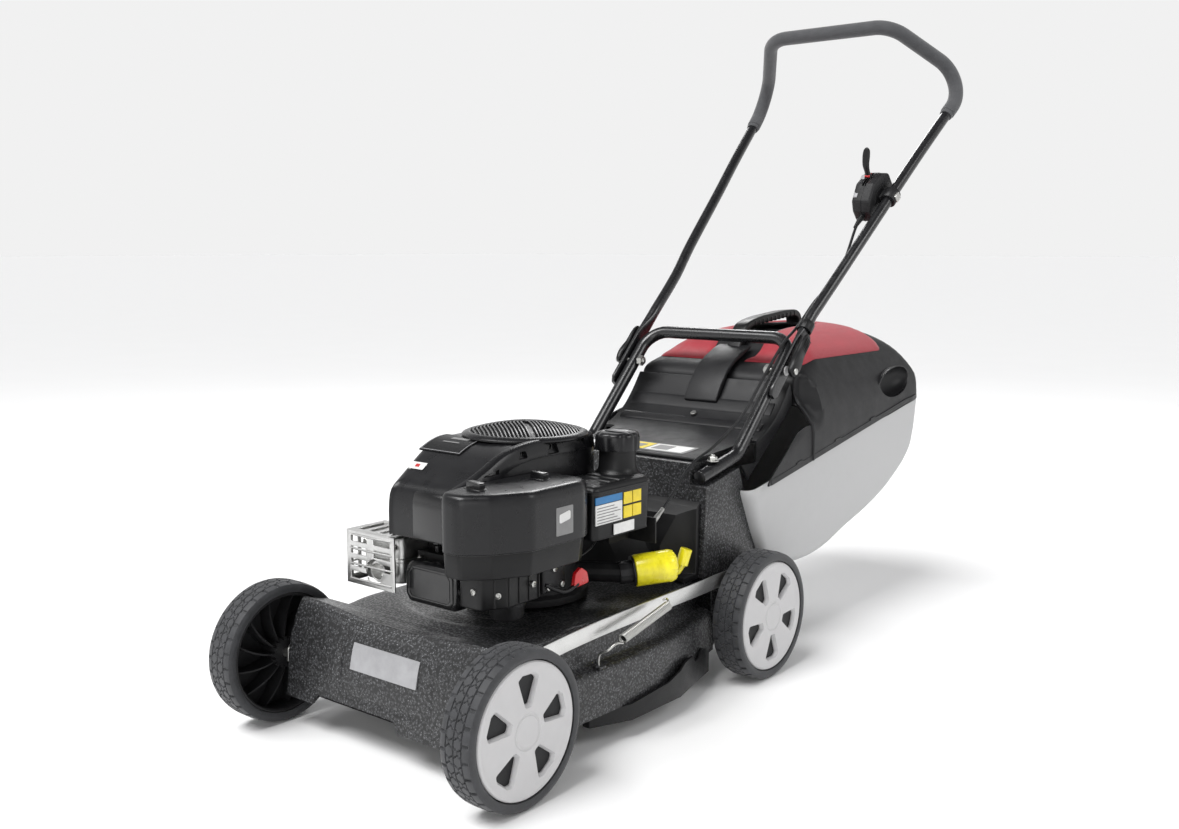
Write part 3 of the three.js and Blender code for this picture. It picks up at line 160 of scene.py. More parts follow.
def moulded(name, color, roughness=0.45, grain=2600.0, depth=0.00006, dust=0.25, coat=0.0, cloudy=0.14):
    """Moulded plastic: fine leather-like grain, soft handling marks and a little dust."""
    n = Nodes(name)
    grains = n.cells(grain).outputs["Distance"]
    marks = n.noise(38.0, 5.0, 0.65)
    fine = n.noise(420.0, 2.0)
    cloud = n.remap(marks, 0.3, 0.72)
    tone = n.blend(cloud, tinted(color, 1 - cloudy), tinted(color, 1 + cloudy))
    tone = n.blend(n.remap(fine, 0.62, 0.8, 0.0, dust), tone, tinted(color, 1.7))
    rough = n.remap(marks, 0.3, 0.75, roughness - 0.07, roughness + 0.1)
    n.connect(Base_Color=tone, Roughness=rough, Normal=n.bump(grains, depth, 0.6))
    n.fixed(Coat_Weight=coat, Coat_Roughness=0.15, Specular_IOR_Level=0.5 if max(color) > 0.1 else 0.3)
    return n.material


def hammertone():
    """Charcoal enamel with raised silvery islands between dark veins."""
    n = Nodes("hammertone")
    warp = n.noise(190.0, 2.0)
    moved = n.add("ShaderNodeVectorMath", {0: n.place, 1: (1.0, 1.0, 1.0)}, operation="MULTIPLY_ADD")
    jitter = n.add("ShaderNodeVectorMath", {0: warp, 1: (0.0016, 0.0016, 0.0016)}, operation="MULTIPLY")
    n.tree.links.new(jitter.outputs[0], moved.inputs[2])
    big = n.add("ShaderNodeTexVoronoi", {"Vector": moved.outputs[0], "Scale": 270.0}, feature="F1")
    small = n.add("ShaderNodeTexVoronoi", {"Vector": moved.outputs[0], "Scale": 640.0}, feature="F1")
    island = n.remap(big.outputs["Distance"], 0.18, 0.62, 1.0, 0.0)
    fleck = n.remap(small.outputs["Distance"], 0.1, 0.34, 1.0, 0.0)
    both = n.add("ShaderNodeMath", {0: island, 1: fleck}, operation="MULTIPLY").outputs[0]
    tone = n.blend(island, (0.006, 0.006, 0.0065), (0.04, 0.041, 0.044))
    tone = n.blend(both, tone, (0.5, 0.51, 0.53))
    rough = n.remap(island, 0.0, 1.0, 0.5, 0.3)
    metal = n.remap(both, 0.0, 1.0, 0.15, 0.75)
    n.connect(Base_Color=tone, Roughness=rough, Metallic=metal, Normal=n.bump(island, 0.0005, 0.7))
    n.fixed(Coat_Weight=0.25, Coat_Roughness=0.22)
    return n.material


def enamel(name, color, roughness=0.3, coat=0.3):
    """Powder coat: slight orange peel and rub marks."""
    n = Nodes(name)
    peel = n.noise(900.0, 1.0)
    rub = n.noise(60.0, 6.0, 0.7, stretch=(1.0, 1.0, 0.4))
    tone = n.blend(n.remap(rub, 0.35, 0.75), tinted(color, 0.85), tinted(color, 1.35))
    n.connect(Base_Color=tone, Roughness=n.remap(rub, 0.3, 0.8, roughness - 0.06, roughness + 0.14))
    n.connect(Normal=n.bump(peel, 0.0001, 0.4))
    n.fixed(Coat_Weight=coat, Coat_Roughness=0.2)
    return n.material


def metal(name, color, roughness=0.3, stretch=None, cast=0.0, stain=0.3):
    """Bare or plated metal with fine working marks and faint stains."""
    n = Nodes(name)
    lines = n.noise(700.0, 4.0, 0.6, stretch=stretch or (1.0, 1.0, 1.0))
    patches = n.noise(45.0, 5.0, 0.7)
    tone = n.blend(n.remap(lines, 0.3, 0.7), tinted(color, 0.85), tinted(color, 1.08))
    tone = n.blend(n.remap(patches, 0.55, 0.8, 0.0, stain), tone, tinted(color, 0.45))
    rough = n.remap(lines, 0.25, 0.75, roughness - 0.08, roughness + 0.14)
    n.connect(Base_Color=tone, Roughness=rough)
    n.connect(Normal=n.bump(n.noise(1400.0, 2.0), 0.00005 + cast * 0.0004, 0.5))
    n.fixed(Metallic=1.0)
    return n.material


def casting(name, color):
    """Black-painted sand casting: coarse skin and a dull sheen."""
    n = Nodes(name)
    skin = n.noise(850.0, 4.0, 0.65)
    tone = n.blend(n.remap(n.noise(55.0, 4.0), 0.3, 0.75), tinted(color, 0.6), tinted(color, 1.5))
    n.connect(Base_Color=tone, Roughness=n.remap(skin, 0.3, 0.7, 0.38, 0.62),
              Normal=n.bump(skin, 0.0003, 0.7))
    n.fixed(Metallic=0.35)
    return n.material


def rubber():
    """Tyre rubber: dusty charcoal with fine mould lines."""
    n = Nodes("tyre_rubber")
    dust = n.noise(70.0, 6.0, 0.7)
    speck = n.noise(1300.0, 3.0, 0.7)
    tone = n.blend(n.remap(dust, 0.35, 0.75), (0.016, 0.017, 0.019), (0.042, 0.043, 0.048))
    tone = n.blend(n.remap(speck, 0.6, 0.78, 0.0, 0.35), tone, (0.085, 0.085, 0.088))
    n.connect(Base_Color=tone, Roughness=n.remap(dust, 0.3, 0.8, 0.52, 0.78),
              Normal=n.bump(speck, 0.00018, 0.6))
    n.fixed(Sheen_Weight=0.15, Sheen_Roughness=0.5)
    return n.material


def foam():
    """Closed-cell foam sleeve: small open pits over a dark grey skin, with painted shade darkening each
    pit.
    """
    n = Nodes("grip_foam")
    pore_depth_and_shade = n.cells(1500.0).outputs["Distance"]
    # painted shade: the colour darkens towards the middle of each pit, where the bump sinks the skin
    tone = n.blend(n.remap(pore_depth_and_shade, 0.05, 0.4), (0.012, 0.012, 0.013), (0.05, 0.051, 0.055))
    tone = n.blend(n.remap(n.noise(60.0, 4.0), 0.4, 0.75, 0.0, 0.4), tone, (0.075, 0.076, 0.08))
    n.connect(Base_Color=tone, Normal=n.bump(pore_depth_and_shade, 0.0002, 0.8))
    n.fixed(Roughness=0.88, Sheen_Weight=0.3)
    return n.material


def woven_red():
    """Matte red vent panel with a fine raised mesh; painted shade darkens the mesh's sunken parts."""
    n = Nodes("red_panel")
    color = (0.36, 0.012, 0.026)
    wave_x = n.add("ShaderNodeTexWave", {"Vector": n.place, "Scale": 190.0},
                   bands_direction="X").outputs["Fac"]
    wave_y = n.add("ShaderNodeTexWave", {"Vector": n.place, "Scale": 190.0},
                   bands_direction="Y").outputs["Fac"]
    mesh_height_and_shade = n.add("ShaderNodeMath", {0: wave_x, 1: wave_y}, operation="MULTIPLY").outputs[0]
    # painted shade: the colour follows the mesh's height, darker where it sinks and lighter where it
    # rises
    tone = n.blend(n.remap(mesh_height_and_shade, 0.1, 0.8), tinted(color, 0.78), tinted(color, 1.12))
    tone = n.blend(n.remap(n.noise(50.0, 5.0), 0.45, 0.75, 0.0, 0.35), tone, tinted(color, 1.35))
    n.connect(Base_Color=tone, Roughness=n.remap(mesh_height_and_shade, 0.0, 1.0, 0.72, 0.55),
              Normal=n.bump(mesh_height_and_shade, 0.0003, 0.6))
    n.fixed(Sheen_Weight=0.2)
    return n.material


LOOK = {"deck_paint": hammertone(), "tyre": rubber(),
        "rim": moulded("rim_black", (0.012, 0.012, 0.013), 0.5),
        "wheel_cover": moulded("cover_grey", (0.52, 0.515, 0.52), 0.42, dust=0.0, depth=0.00003,
                               cloudy=0.03), "steel": metal("zinc_steel", (0.52, 0.52, 0.5), 0.32),
        "black_plastic": moulded("black_plastic", (0.006, 0.006, 0.0065), 0.38),
        "charcoal_plastic": moulded("charcoal_plastic", (0.011, 0.011, 0.012), 0.42, depth=0.00009),
        "engine_casting": casting("black_casting", (0.012, 0.012, 0.013)),
        "engine_gloss": moulded("gloss_black", (0.006, 0.006, 0.0065), 0.2, depth=0.00001, dust=0.05,
                                coat=0.6), "engine_shroud": moulded("shroud_charcoal",
                                                                    (0.007, 0.007, 0.008), 0.3,
                                                                    depth=0.00003, coat=0.1),
        "muffler_steel": metal("pressed_steel", (0.68, 0.68, 0.67), 0.3, stretch=(1.0, 1.0, 9.0)),
        "yellow_parts": enamel("filter_yellow", (0.78, 0.67, 0.01), 0.28, 0.5),
        "red_knob": moulded("knob_red", (0.55, 0.008, 0.012), 0.3, coat=0.4, dust=0.05),
        "tube_paint": enamel("tube_black", (0.005, 0.005, 0.006), 0.26), "foam_grip": foam(),
        "cable": moulded("cable_sheath", (0.009, 0.009, 0.01), 0.38, grain=5200.0),
        "red_panel": woven_red(), "bin_plastic": moulded("bin_grey", (0.44, 0.442, 0.445), 0.42,
                                                         depth=0.00005, dust=0.0, cloudy=0.03), }
LABEL_WHITE = moulded("label_white", (0.7, 0.7, 0.69), 0.4, dust=0.02)
LABEL_YELLOW = moulded("label_yellow", (0.78, 0.6, 0.02), 0.4, dust=0.02)
LABEL_RED = moulded("label_red", (0.45, 0.02, 0.02), 0.4, dust=0.02)
LABEL_BLUE = moulded("label_blue", (0.02, 0.16, 0.38), 0.4, dust=0.02)
LABEL_GREY = moulded("label_grey", (0.2, 0.2, 0.2), 0.4, dust=0.02)
STRIP_GREY = moulded("strip_grey", (0.3, 0.3, 0.31), 0.4, dust=0.05)


# ---------------------------------------------------------------- shapes in millimetres


class Shape:
    """Points and faces in millimetres."""

    def __init__(self, points=(), faces=()):
        self.points = [Vector(p) for p in points]
        self.faces = [tuple(f) for f in faces]

    def __add__(self, other):
        shift = len(self.points)
        faces = self.faces + [tuple(i + shift for i in f) for f in other.faces]
        return Shape(self.points + other.points, faces)

    def moved(self, change):
        if not callable(change):
            matrix = change
            return Shape([matrix @ p for p in self.points], self.faces)
        return Shape([change(p) for p in self.points], self.faces)

    def mirrored(self):
        return Shape([Vector((-p.x, p.y, p.z)) for p in self.points],
                     [tuple(reversed(f)) for f in self.faces])

    def on_side(self, sign):
        return self if sign > 0 else self.mirrored()


def loft(rings, capped=True, closed=False):
    """A skin over rings with equal point counts; closed joins the last ring to the first."""
    count = len(rings[0])
    faces = []
    spans = len(rings) if closed else len(rings) - 1
    for r in range(spans):
        a, b = r * count, ((r + 1) % len(rings)) * count
        for i in range(count):
            j = (i + 1) % count
            faces.append((a + i, a + j, b + j, b + i))
    if capped and not closed:
        faces.append(tuple(reversed(range(count))))
        faces.append(tuple((len(rings) - 1) * count + i for i in range(count)))
    return Shape([p for ring in rings for p in ring], faces)


def sheet_grid(rows):
    """An open skin over rows of points."""
    count = len(rows[0])
    faces = []
    for r in range(len(rows) - 1):
        for i in range(count - 1):
            a = r * count + i
            faces.append((a, a + 1, a + count + 1, a + count))
    return Shape([p for row in rows for p in row], faces)


def prism(axis, outline, low, high):
    """An outline pushed along one axis. On x the outline is (y, z), on y (x, z), on z (x, y)."""
    def ring(d):
        if axis == "x":
            return [vec(d, u, v) for u, v in outline]
        if axis == "y":
            return [vec(u, d, v) for u, v in outline]
        return [vec(u, v, d) for u, v in outline]
    return loft([ring(low), ring(high)])


def block(low, high):
    outline = [(low[0], low[1]), (high[0], low[1]), (high[0], high[1]), (low[0], high[1])]
    return prism("z", outline, low[2], high[2])


def across(direction):
    """Two unit vectors square to a direction."""
    d = direction.normalized()
    helper = X if abs(d.x) < 0.8 else Y
    side = d.cross(helper).normalized()
    return side, d.cross(side)


def turned(profile, centre, direction, steps=48):
    """A profile of (radius, height) turned about a line through centre."""
    u, v = across(direction)
    d = direction.normalized()
    rings = []
    for k in range(steps):
        a = 2 * math.pi * k / steps
        out = u * math.cos(a) + v * math.sin(a)
        rings.append([centre + out * r + d * h for r, h in profile])
    made = loft(rings, capped=False, closed=True)
    count = len(profile)
    if profile[0] != profile[-1]:
        faces = [f for f in made.faces if not {f[0] % count, f[1] % count} == {0, count - 1}]
        for end in (0, count - 1):
            if profile[end][0] > 0:
                ring = [k * count + end for k in range(steps)]
                faces.append(tuple(ring if end == 0 else reversed(ring)))
        made = Shape(made.points, faces)
    return made


def smooth_line(points, steps=8, closed=False):
    """A Catmull-Rom curve through the points."""
    count = len(points)
    out = []
    spans = count if closed else count - 1
    for i in range(spans):
        if closed:
            p = [points[(i + k - 1) % count] for k in range(4)]
        else:
            p = [points[max(i - 1, 0)], points[i], points[i + 1], points[min(i + 2, count - 1)]]
        for k in range(steps):
            t = k / steps
            a = -0.5 * t ** 3 + t ** 2 - 0.5 * t
            b = 1.5 * t ** 3 - 2.5 * t ** 2 + 1
            c = -1.5 * t ** 3 + 2 * t ** 2 + 0.5 * t
            d = 0.5 * t ** 3 - 0.5 * t ** 2
            out.append(p[0] * a + p[1] * b + p[2] * c + p[3] * d)
    if not closed:
        out.append(points[-1].copy())
    return out


def rounded(corners, radius, steps=12):
    """A route whose corners are arcs."""
    route = [corners[0]]
    for before, corner, after in zip(corners, corners[1:], corners[2:]):
        back, on = (before - corner).normalized(), (after - corner).normalized()
        half = back.angle(on) / 2
        if half > 1.54:
            route.append(corner)
            continue
        centre = corner + (back + on).normalized() * (radius / math.sin(half))
        first = corner + back * (radius / math.tan(half)) - centre
        last = corner + on * (radius / math.tan(half)) - centre
        for k in range(steps + 1):
            turn = first.angle(last)
            share = k / steps
            blend = (first * math.sin((1 - share) * turn)
                     + last * math.sin(share * turn)) / math.sin(turn)
            route.append(centre + blend)
    return route + [corners[-1]]


def sweep(route, section, capped=True, seed=None):
    """A section of (u, v) pairs or a function of the share along the route, carried along it."""
    side = seed or across(route[1] - route[0])[0]
    rings = []
    for i, point in enumerate(route):
        ahead = route[min(i + 1, len(route) - 1)] - point
        behind = point - route[max(i - 1, 0)]
        along = (ahead.normalized() + behind.normalized()).normalized()
        side = (side - along * side.dot(along)).normalized()
        up = side.cross(along)
        pairs = section(i / (len(route) - 1)) if callable(section) else section
        rings.append([point + side * u + up * v for u, v in pairs])
    return loft(rings, capped)


def circle(radius, sides=24, flat=1.0):
    return [(radius * math.cos(2 * math.pi * i / sides),
             flat * radius * math.sin(2 * math.pi * i / sides)) for i in range(sides)]


def tube(route, radius, sides=24):
    return sweep(route, circle(radius, sides))


def rod(start, end, radius, sides=32, chamfer=0.8):
    length = (end - start).length
    c = min(chamfer, radius * 0.4, length * 0.3)
    return turned([(0, 0), (radius - c, 0), (radius, c), (radius, length - c), (radius - c, length),
                   (0, length)], start, end - start, sides)


def rounded_outline(corners, radius, steps=5):
    """A closed 2D outline with arcs at its corners."""
    points = [vec(u, v, 0) for u, v in corners]
    out = []
    for i, corner in enumerate(points):
        back = points[i - 1] - corner
        on = points[(i + 1) % len(points)] - corner
        half = back.angle(on) / 2
        reach = min(radius / math.tan(half), back.length * 0.48, on.length * 0.48) if half < 1.54 else 0
        if reach <= 0:
            out.append((corner.x, corner.y))
            continue
        a, b = corner + back.normalized() * reach, corner + on.normalized() * reach
        for k in range(steps + 1):
            t = k / steps
            p = a * (1 - t) ** 2 + corner * 2 * t * (1 - t) + b * t ** 2
            out.append((p.x, p.y))
    return out


# ---------------------------------------------------------------- pieces


def shade(mesh, angle):
    for face in mesh.polygons:
        face.use_smooth = True
    mesh.set_sharp_from_angle(angle=math.radians(angle))


def tidy(mesh, outward=True):
    work = bmesh.new()
    work.from_mesh(mesh)
    bmesh.ops.remove_doubles(work, verts=work.verts, dist=1e-6)
    bmesh.ops.dissolve_degenerate(work, edges=work.edges, dist=1e-7)
    if outward:
        bmesh.ops.recalc_face_normals(work, faces=work.faces)
    work.to_mesh(mesh)
    work.free()


def settle(obj):
    """Applies the object's modifiers to its mesh."""
    bpy.context.view_layer.update()
    graph = bpy.context.evaluated_depsgraph_get()
    made = bpy.data.meshes.new_from_object(obj.evaluated_get(graph))
    obj.modifiers.clear()
    obj.data = made


def bevelled(obj, width, segments=3, angle=28):
    if width <= 0:
        return
    mod = obj.modifiers.new("bevel", "BEVEL")
    mod.width = width * MM
    mod.segments = segments
    mod.limit_method = "ANGLE"
    mod.angle_limit = math.radians(angle)
    mod.use_clamp_overlap = True
    mod.harden_normals = False
    settle(obj)


def loose(name, shape, origin=FRONT_Y):
    """An object of a shape, in place but not yet a piece."""
    mesh = bpy.data.meshes.new(name)
    mesh.from_pydata([Vector((p.x, p.y + origin, p.z)) * MM for p in shape.points], [], shape.faces)
    tidy(mesh)
    obj = bpy.data.objects.new(name, mesh)
    bpy.context.scene.collection.objects.link(obj)
    return obj


def join_with(obj, other, operation="DIFFERENCE"):
    """Cuts or joins another object, which is used up."""
    mod = obj.modifiers.new("cut", "BOOLEAN")
    mod.operation = operation
    mod.object = other
    mod.solver = "EXACT"
    settle(obj)
    bpy.data.objects.remove(other)


def piece(name, shape, body, slot, stands_for=(), origin=FRONT_Y, bevel=0.0, segments=3, smooth=35,
          cuts=(), look=None, cut_bevel=0.0):
    obj = loose(name, shape, origin)
    bevelled(obj, bevel, segments)
    for i, cut in enumerate(cuts):
        join_with(obj, loose(f"{name}_cut_{i}", cut, origin))
    bevelled(obj, cut_bevel, 2)
    return finished(obj, body, slot, stands_for, smooth, look)


def finished(obj, body, slot, stands_for=(), smooth=35, look=None):
    shade(obj.data, smooth)
    obj.data.materials.clear()
    obj.data.materials.append(look or LOOK[slot])
    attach(obj, body)
    if stands_for:
        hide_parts(*stands_for)
    return obj


def refined(node, bevel=1.2, segments=3, angle=28, smooth=40, look=None):
    """A CAD solid's own shape with its edges rounded over."""
    source = frame["nodes"][node]
    obj = bpy.data.objects.new(f"{node}_skin", source.data.copy())
    bpy.context.scene.collection.objects.link(obj)
    work = bmesh.new()
    work.from_mesh(obj.data)
    bmesh.ops.remove_doubles(work, verts=work.verts, dist=1e-6)
    bmesh.ops.dissolve_limit(work, angle_limit=math.radians(0.6), verts=work.verts, edges=work.edges)
    work.to_mesh(obj.data)
    work.free()
    bevelled(obj, bevel, segments, angle)
    return finished(obj, BODY_OF[node], SLOT_OF[node], (node,), smooth, look)


# ---------------------------------------------------------------- wheels

WHEEL_RADIUS = 101.6
WHEEL_WIDTH = 51.0
RIM_RADIUS = 87.0
COVER_RADIUS = 85.5
HUB = 19.0
STUB = 6.3


def tread_depth(angle, across_share):
    """Depth of the tread's grooves: two rows of staggered hexagons and notches on both shoulders."""
    pitch = 2 * math.pi / 30
    w = across_share
    depth = 0.0
    if abs(w) > 0.64:
        phase = (angle / pitch + (0.5 if w > 0 else 0.0)) % 1.0
        if abs(phase - 0.5) < 0.1:
            depth = 2.6
        return depth
    row = 0.5 if w > 0 else 0.0
    u = (angle / pitch + row) % 1.0 - 0.5
    v = abs(abs(w) - 0.33) / 0.3
    edge = abs(u) + 0.22 * v
    if 0.36 < edge < 0.45 or (abs(w) < 0.035):
        depth = 2.2
    if v > 0.93:
        depth = 2.2
    return depth


def tyre_shape():
    half = WHEEL_WIDTH / 2
    profile = [(RIM_RADIUS + 0.4, -half + 1.2), (RIM_RADIUS + 3, -half + 0.4), (WHEEL_RADIUS - 9, -half),
               (WHEEL_RADIUS - 5.5, -half + 0.6), (WHEEL_RADIUS - 2.6, -half + 2.4)]
    tread = 36
    for i in range(tread + 1):
        w = -1 + 2 * i / tread
        profile.append((WHEEL_RADIUS - 0.4 - 1.4 * w ** 4, w * (half - 4.6)))
    profile += [(r, -h) for r, h in reversed(profile[:5])]
    steps = 480
    rings = []
    for k in range(steps):
        a = 2 * math.pi * k / steps
        ring = []
        for i, (r, h) in enumerate(profile):
            cut = tread_depth(a, h / (half - 4.6)) if 5 <= i <= 5 + tread else 0.0
            ring.append(vec(h, (r - cut) * math.sin(a), (r - cut) * math.cos(a)))
        rings.append(ring)
    return loft(rings, capped=False, closed=True)


def rim_shape():
    """Barrel, web and toothed hub; the inner side shows curved ribs."""
    half = WHEEL_WIDTH / 2
    face = half - 8
    axis = X
    made = turned([(STUB + 0.4, -half + 5.5), (HUB, -half + 5.5), (HUB, face - 5),
                   (RIM_RADIUS - 5, face - 5), (RIM_RADIUS - 5, -half + 4), (RIM_RADIUS - 3, -half + 2.6),
                   (RIM_RADIUS, -half + 3.4), (RIM_RADIUS, face - 1), (RIM_RADIUS - 1, face),
                   (STUB + 0.4, face), (STUB + 0.4, -half + 5.5)], vec(0, 0, 0), axis, 96)
    for i in range(12):
        turn = 2 * math.pi * i / 12
        route = []
        for k in range(9):
            t = k / 8
            r = mix(HUB - 1, RIM_RADIUS - 5.5, t)
            a = turn + 0.35 * t
            route.append((r, a))
        rings = []
        for r, a in route:
            point = vec(0, r * math.sin(a), r * math.cos(a))
            side = vec(0, math.cos(a), -math.sin(a)) * 1.5
            depth = mix(-half + 9, -half + 20, ease((r - HUB) / (RIM_RADIUS - HUB)))
            rings.append([point - side + X * (face - 5.2), point + side + X * (face - 5.2),
                          point + side * 0.8 + X * depth, point - side * 0.8 + X * depth])
        made = made + loft(rings)
    for i in range(16):
        a = 2 * math.pi * i / 16
        turn = Matrix.Rotation(a, 4, "X")
        made = made + block((-half + 5, -2.2, HUB - 1.5), (-half + 12, 2.2, HUB + 3.2)).moved(turn)
    return made


def window_ring(r_in, r_out, spread_in, spread_out, turn, x):
    """A rounded triangle with its apex towards the hub."""
    corners = [(r_in, -spread_in), (r_out - 4, -spread_out), (r_out, -spread_out * 0.55),
               (r_out, spread_out * 0.55), (r_out - 4, spread_out), (r_in, spread_in)]
    flat = [(r * math.sin(a + turn), r * math.cos(a + turn)) for r, a in corners]
    return [vec(x, y, z) for y, z in rounded_outline(flat, 4.0, 4)]


def cover_piece(name, end, side, sign, y, track, turn):
    half = WHEEL_WIDTH / 2
    back = half - 7.6
    disc = turned([(0, back), (COVER_RADIUS - 1, back), (COVER_RADIUS, back + 1),
                   (COVER_RADIUS, half - 3.2), (COVER_RADIUS - 1.6, half - 1.4),
                   (COVER_RADIUS - 5, half - 0.7), (COVER_RADIUS - 9, half - 1.6), (66, half - 1.1),
                   (40, half - 0.4), (24, half - 0.2), (22.5, half - 1.2), (20.5, half - 1.2),
                   (19, half - 0.1), (0, half)], vec(0, 0, 0), X, 120)
    cuts = []
    for i in range(5):
        a = turn + 2 * math.pi * i / 5
        cuts.append(loft([window_ring(33, 69, 0.14, 0.25, a, back - 2),
                          window_ring(33, 69, 0.14, 0.25, a, half - 5.5),
                          window_ring(29.5, 73, 0.2, 0.3, a, half + 0.6)]))
    place = Matrix.Translation((sign * track / 2, y, WHEEL_RADIUS))
    obj = piece(name, disc.on_side(sign).moved(place), f"{end}_wheel_{side}", "wheel_cover", (name,),
                cuts=[cut.on_side(sign).moved(place) for cut in cuts], smooth=24)
    return obj


def wheels():
    tyre, rim = tyre_shape(), rim_shape()
    for end, axis_node, turn in (("front", "front_tyre_left", 0.05), ("rear", "rear_tyre_left", 0.63)):
        y = (middle(axis_node).y / MM) - FRONT_Y
        track = 2 * middle(axis_node).x / MM
        for side, sign in SIDES:
            place = Matrix.Translation((sign * track / 2, y, WHEEL_RADIUS))
            body = f"{end}_wheel_{side}"
            piece(f"{end}_tyre_{side}_tread", tyre.on_side(sign).moved(place), body, "tyre",
                  (f"{end}_tyre_{side}",), smooth=38)
            piece(f"{end}_rim_{side}_spoked", rim.on_side(sign).moved(place), body, "rim",
                  (f"{end}_rim_{side}",), smooth=30)
            cover_piece(f"{end}_cover_{side}", end, side, sign, y, track, turn)


# ---------------------------------------------------------------- camera, light, floor

CAMERA_PLACE = vec(1221.63, -1057.54 + FRONT_Y, 678.15) * MM
CAMERA_PITCH = 0.1338
CAMERA_YAW = 0.688
CAMERA_LENS = 38.016


def camera():
    data = bpy.data.cameras.new("camera")
    data.sensor_width = 36.0
    data.lens = CAMERA_LENS
    obj = bpy.data.objects.new("camera", data)
    obj.location = CAMERA_PLACE
    obj.rotation_euler = (math.pi / 2 - CAMERA_PITCH, 0, CAMERA_YAW)
    bpy.context.scene.collection.objects.link(obj)
    bpy.context.scene.camera = obj


def lamp(name, place, target, size, power, color=(1, 1, 1)):
    data = bpy.data.lights.new(name, "AREA")
    data.shape = "DISK"
    data.size = size
    data.energy = power
    data.color = color
    obj = bpy.data.objects.new(name, data)
    obj.location = place
    obj.rotation_euler = (Vector(target) - Vector(place)).to_track_quat("-Z", "Y").to_euler()
    bpy.context.scene.collection.objects.link(obj)


def studio():
    floor_mesh = bpy.data.meshes.new("floor")
    reach = 90.0
    floor_mesh.from_pydata([(-reach, -reach, 0), (reach, -reach, 0), (reach, reach, 0),
                            (-reach, reach, 0)], [], [(0, 1, 2, 3)])
    floor = bpy.data.objects.new("floor", floor_mesh)
    bpy.context.scene.collection.objects.link(floor)
    n = Nodes("floor_paper")
    tone = n.blend(n.noise(3.0, 2.0), (0.9, 0.9, 0.9), (0.92, 0.92, 0.92))
    n.connect(Base_Color=tone)
    n.fixed(Roughness=0.9)
    floor_mesh.materials.append(n.material)
    world = bpy.data.worlds.new("studio")
    world.use_nodes = True
    links, nodes = world.node_tree.links, world.node_tree.nodes
    ramp = nodes.new("ShaderNodeValToRGB")
    ramp.color_ramp.elements[0].position = 0.2
    ramp.color_ramp.elements[0].color = (1.0, 1.0, 1.0, 1.0)
    ramp.color_ramp.elements[1].position = 0.62
    ramp.color_ramp.elements[1].color = (0.22, 0.22, 0.225, 1.0)
    split = nodes.new("ShaderNodeSeparateXYZ")
    links.new(nodes.new("ShaderNodeTexCoord").outputs["Generated"], split.inputs[0])
    links.new(split.outputs["Z"], ramp.inputs["Fac"])
    links.new(ramp.outputs["Color"], nodes["Background"].inputs["Color"])
    nodes["Background"].inputs["Strength"].default_value = 0.88
    bpy.context.scene.world = world
    bpy.context.scene.view_settings.view_transform = "Standard"
    sun = bpy.data.objects.new("sky_fill", bpy.data.lights.new("sky_fill", "SUN"))
    sun.data.energy = 2.5
    sun.data.angle = 0.5
    sun.rotation_euler = (math.radians(24), math.radians(-22), 0.6)
    bpy.context.scene.collection.objects.link(sun)
    lamp("key", (-1.6, -1.8, 3.2), (0, 0, 0.3), 1.6, 48)
    lamp("side", (2.6, 0.6, 2.2), (0, 0, 0.4), 1.4, 22)
    lamp("rim", (-1.8, 2.4, 2.4), (0, 0.2, 0.5), 1.2, 26)
    lamp("front", (1.2, -3.0, 1.0), (0, -0.3, 0.25), 1.6, 11)


# ---------------------------------------------------------------- handle

BASE = REAR_Y - FRONT_Y
LOWER_TUBE = 11.0
UPPER_TUBE = 9.75
GRIP_RADIUS = 13.5
LEG_X = 150.0
LEG_SLOPE = 1.036
PIVOT = (142.0, 474.32)
FLAT_X = 161.8
FLAT_END = 6.0
UPPER_X = FLAT_X + FLAT_END / 2
CABLE_RADIUS = 2.5
ALONG = vec(0, 1, LEG_SLOPE).normalized()
RISE = vec(0, -ALONG.z, ALONG.y)


def rear(x, y, z):
    """A point written from the rear wheel axis."""
    return vec(x, y + BASE, z)


def acrossx(p):
    return vec(-p.x, p.y, p.z)


def pivot_point(x, along=0.0, rise=0.0):
    return rear(x, *PIVOT) + ALONG * along + RISE * rise


UPPER_LINE = [rear(UPPER_X, 228, 562), rear(171, 300, 623), rear(180, 361, 681), rear(193, 473, 782),
              rear(203, 550, 852), rear(214, 637, 928)]
SHOULDER = rear(225, 711, 993)
TOP_CORNER = rear(129, 563, 1088)
GRIP_HALF = [UPPER_LINE[-1], SHOULDER, TOP_CORNER]
GRIP_ROUTE = rounded(GRIP_HALF + [acrossx(p) for p in reversed(GRIP_HALF)], 58, 18)


def spread(points, step=12.0):
    """Extra points along straight stretches."""
    out = [points[0]]
    for a, b in zip(points, points[1:]):
        count = max(1, int((b - a).length / step))
        out += [a.lerp(b, (k + 1) / count) for k in range(count)]
    return out


def lower_handle():
    side = [rear(LEG_X, -82, 324), rear(LEG_X, 22, 346), rear(LEG_X, 194, 524)]
    route = rounded(side + [acrossx(p) for p in reversed(side)], 40, 14)
    bar = tube(route, LOWER_TUBE, 28)
    piece("lower_handle_tube", bar, "chassis", "tube_paint", ("lower_handle",), bevel=1.0, smooth=40)
    for name, sign in SIDES:
        end = side[0] - (side[1] - side[0]).normalized() * 0.4
        plug = turned([(0, -1.2), (LOWER_TUBE - 3, -1.2), (LOWER_TUBE - 1.5, 0), (LOWER_TUBE - 1.5, 1.2),
                       (0, 1.2)], end, side[1] - side[0], 28)
        piece(f"lower_handle_plug_{name}", plug.on_side(sign), "chassis", "black_plastic", smooth=40)


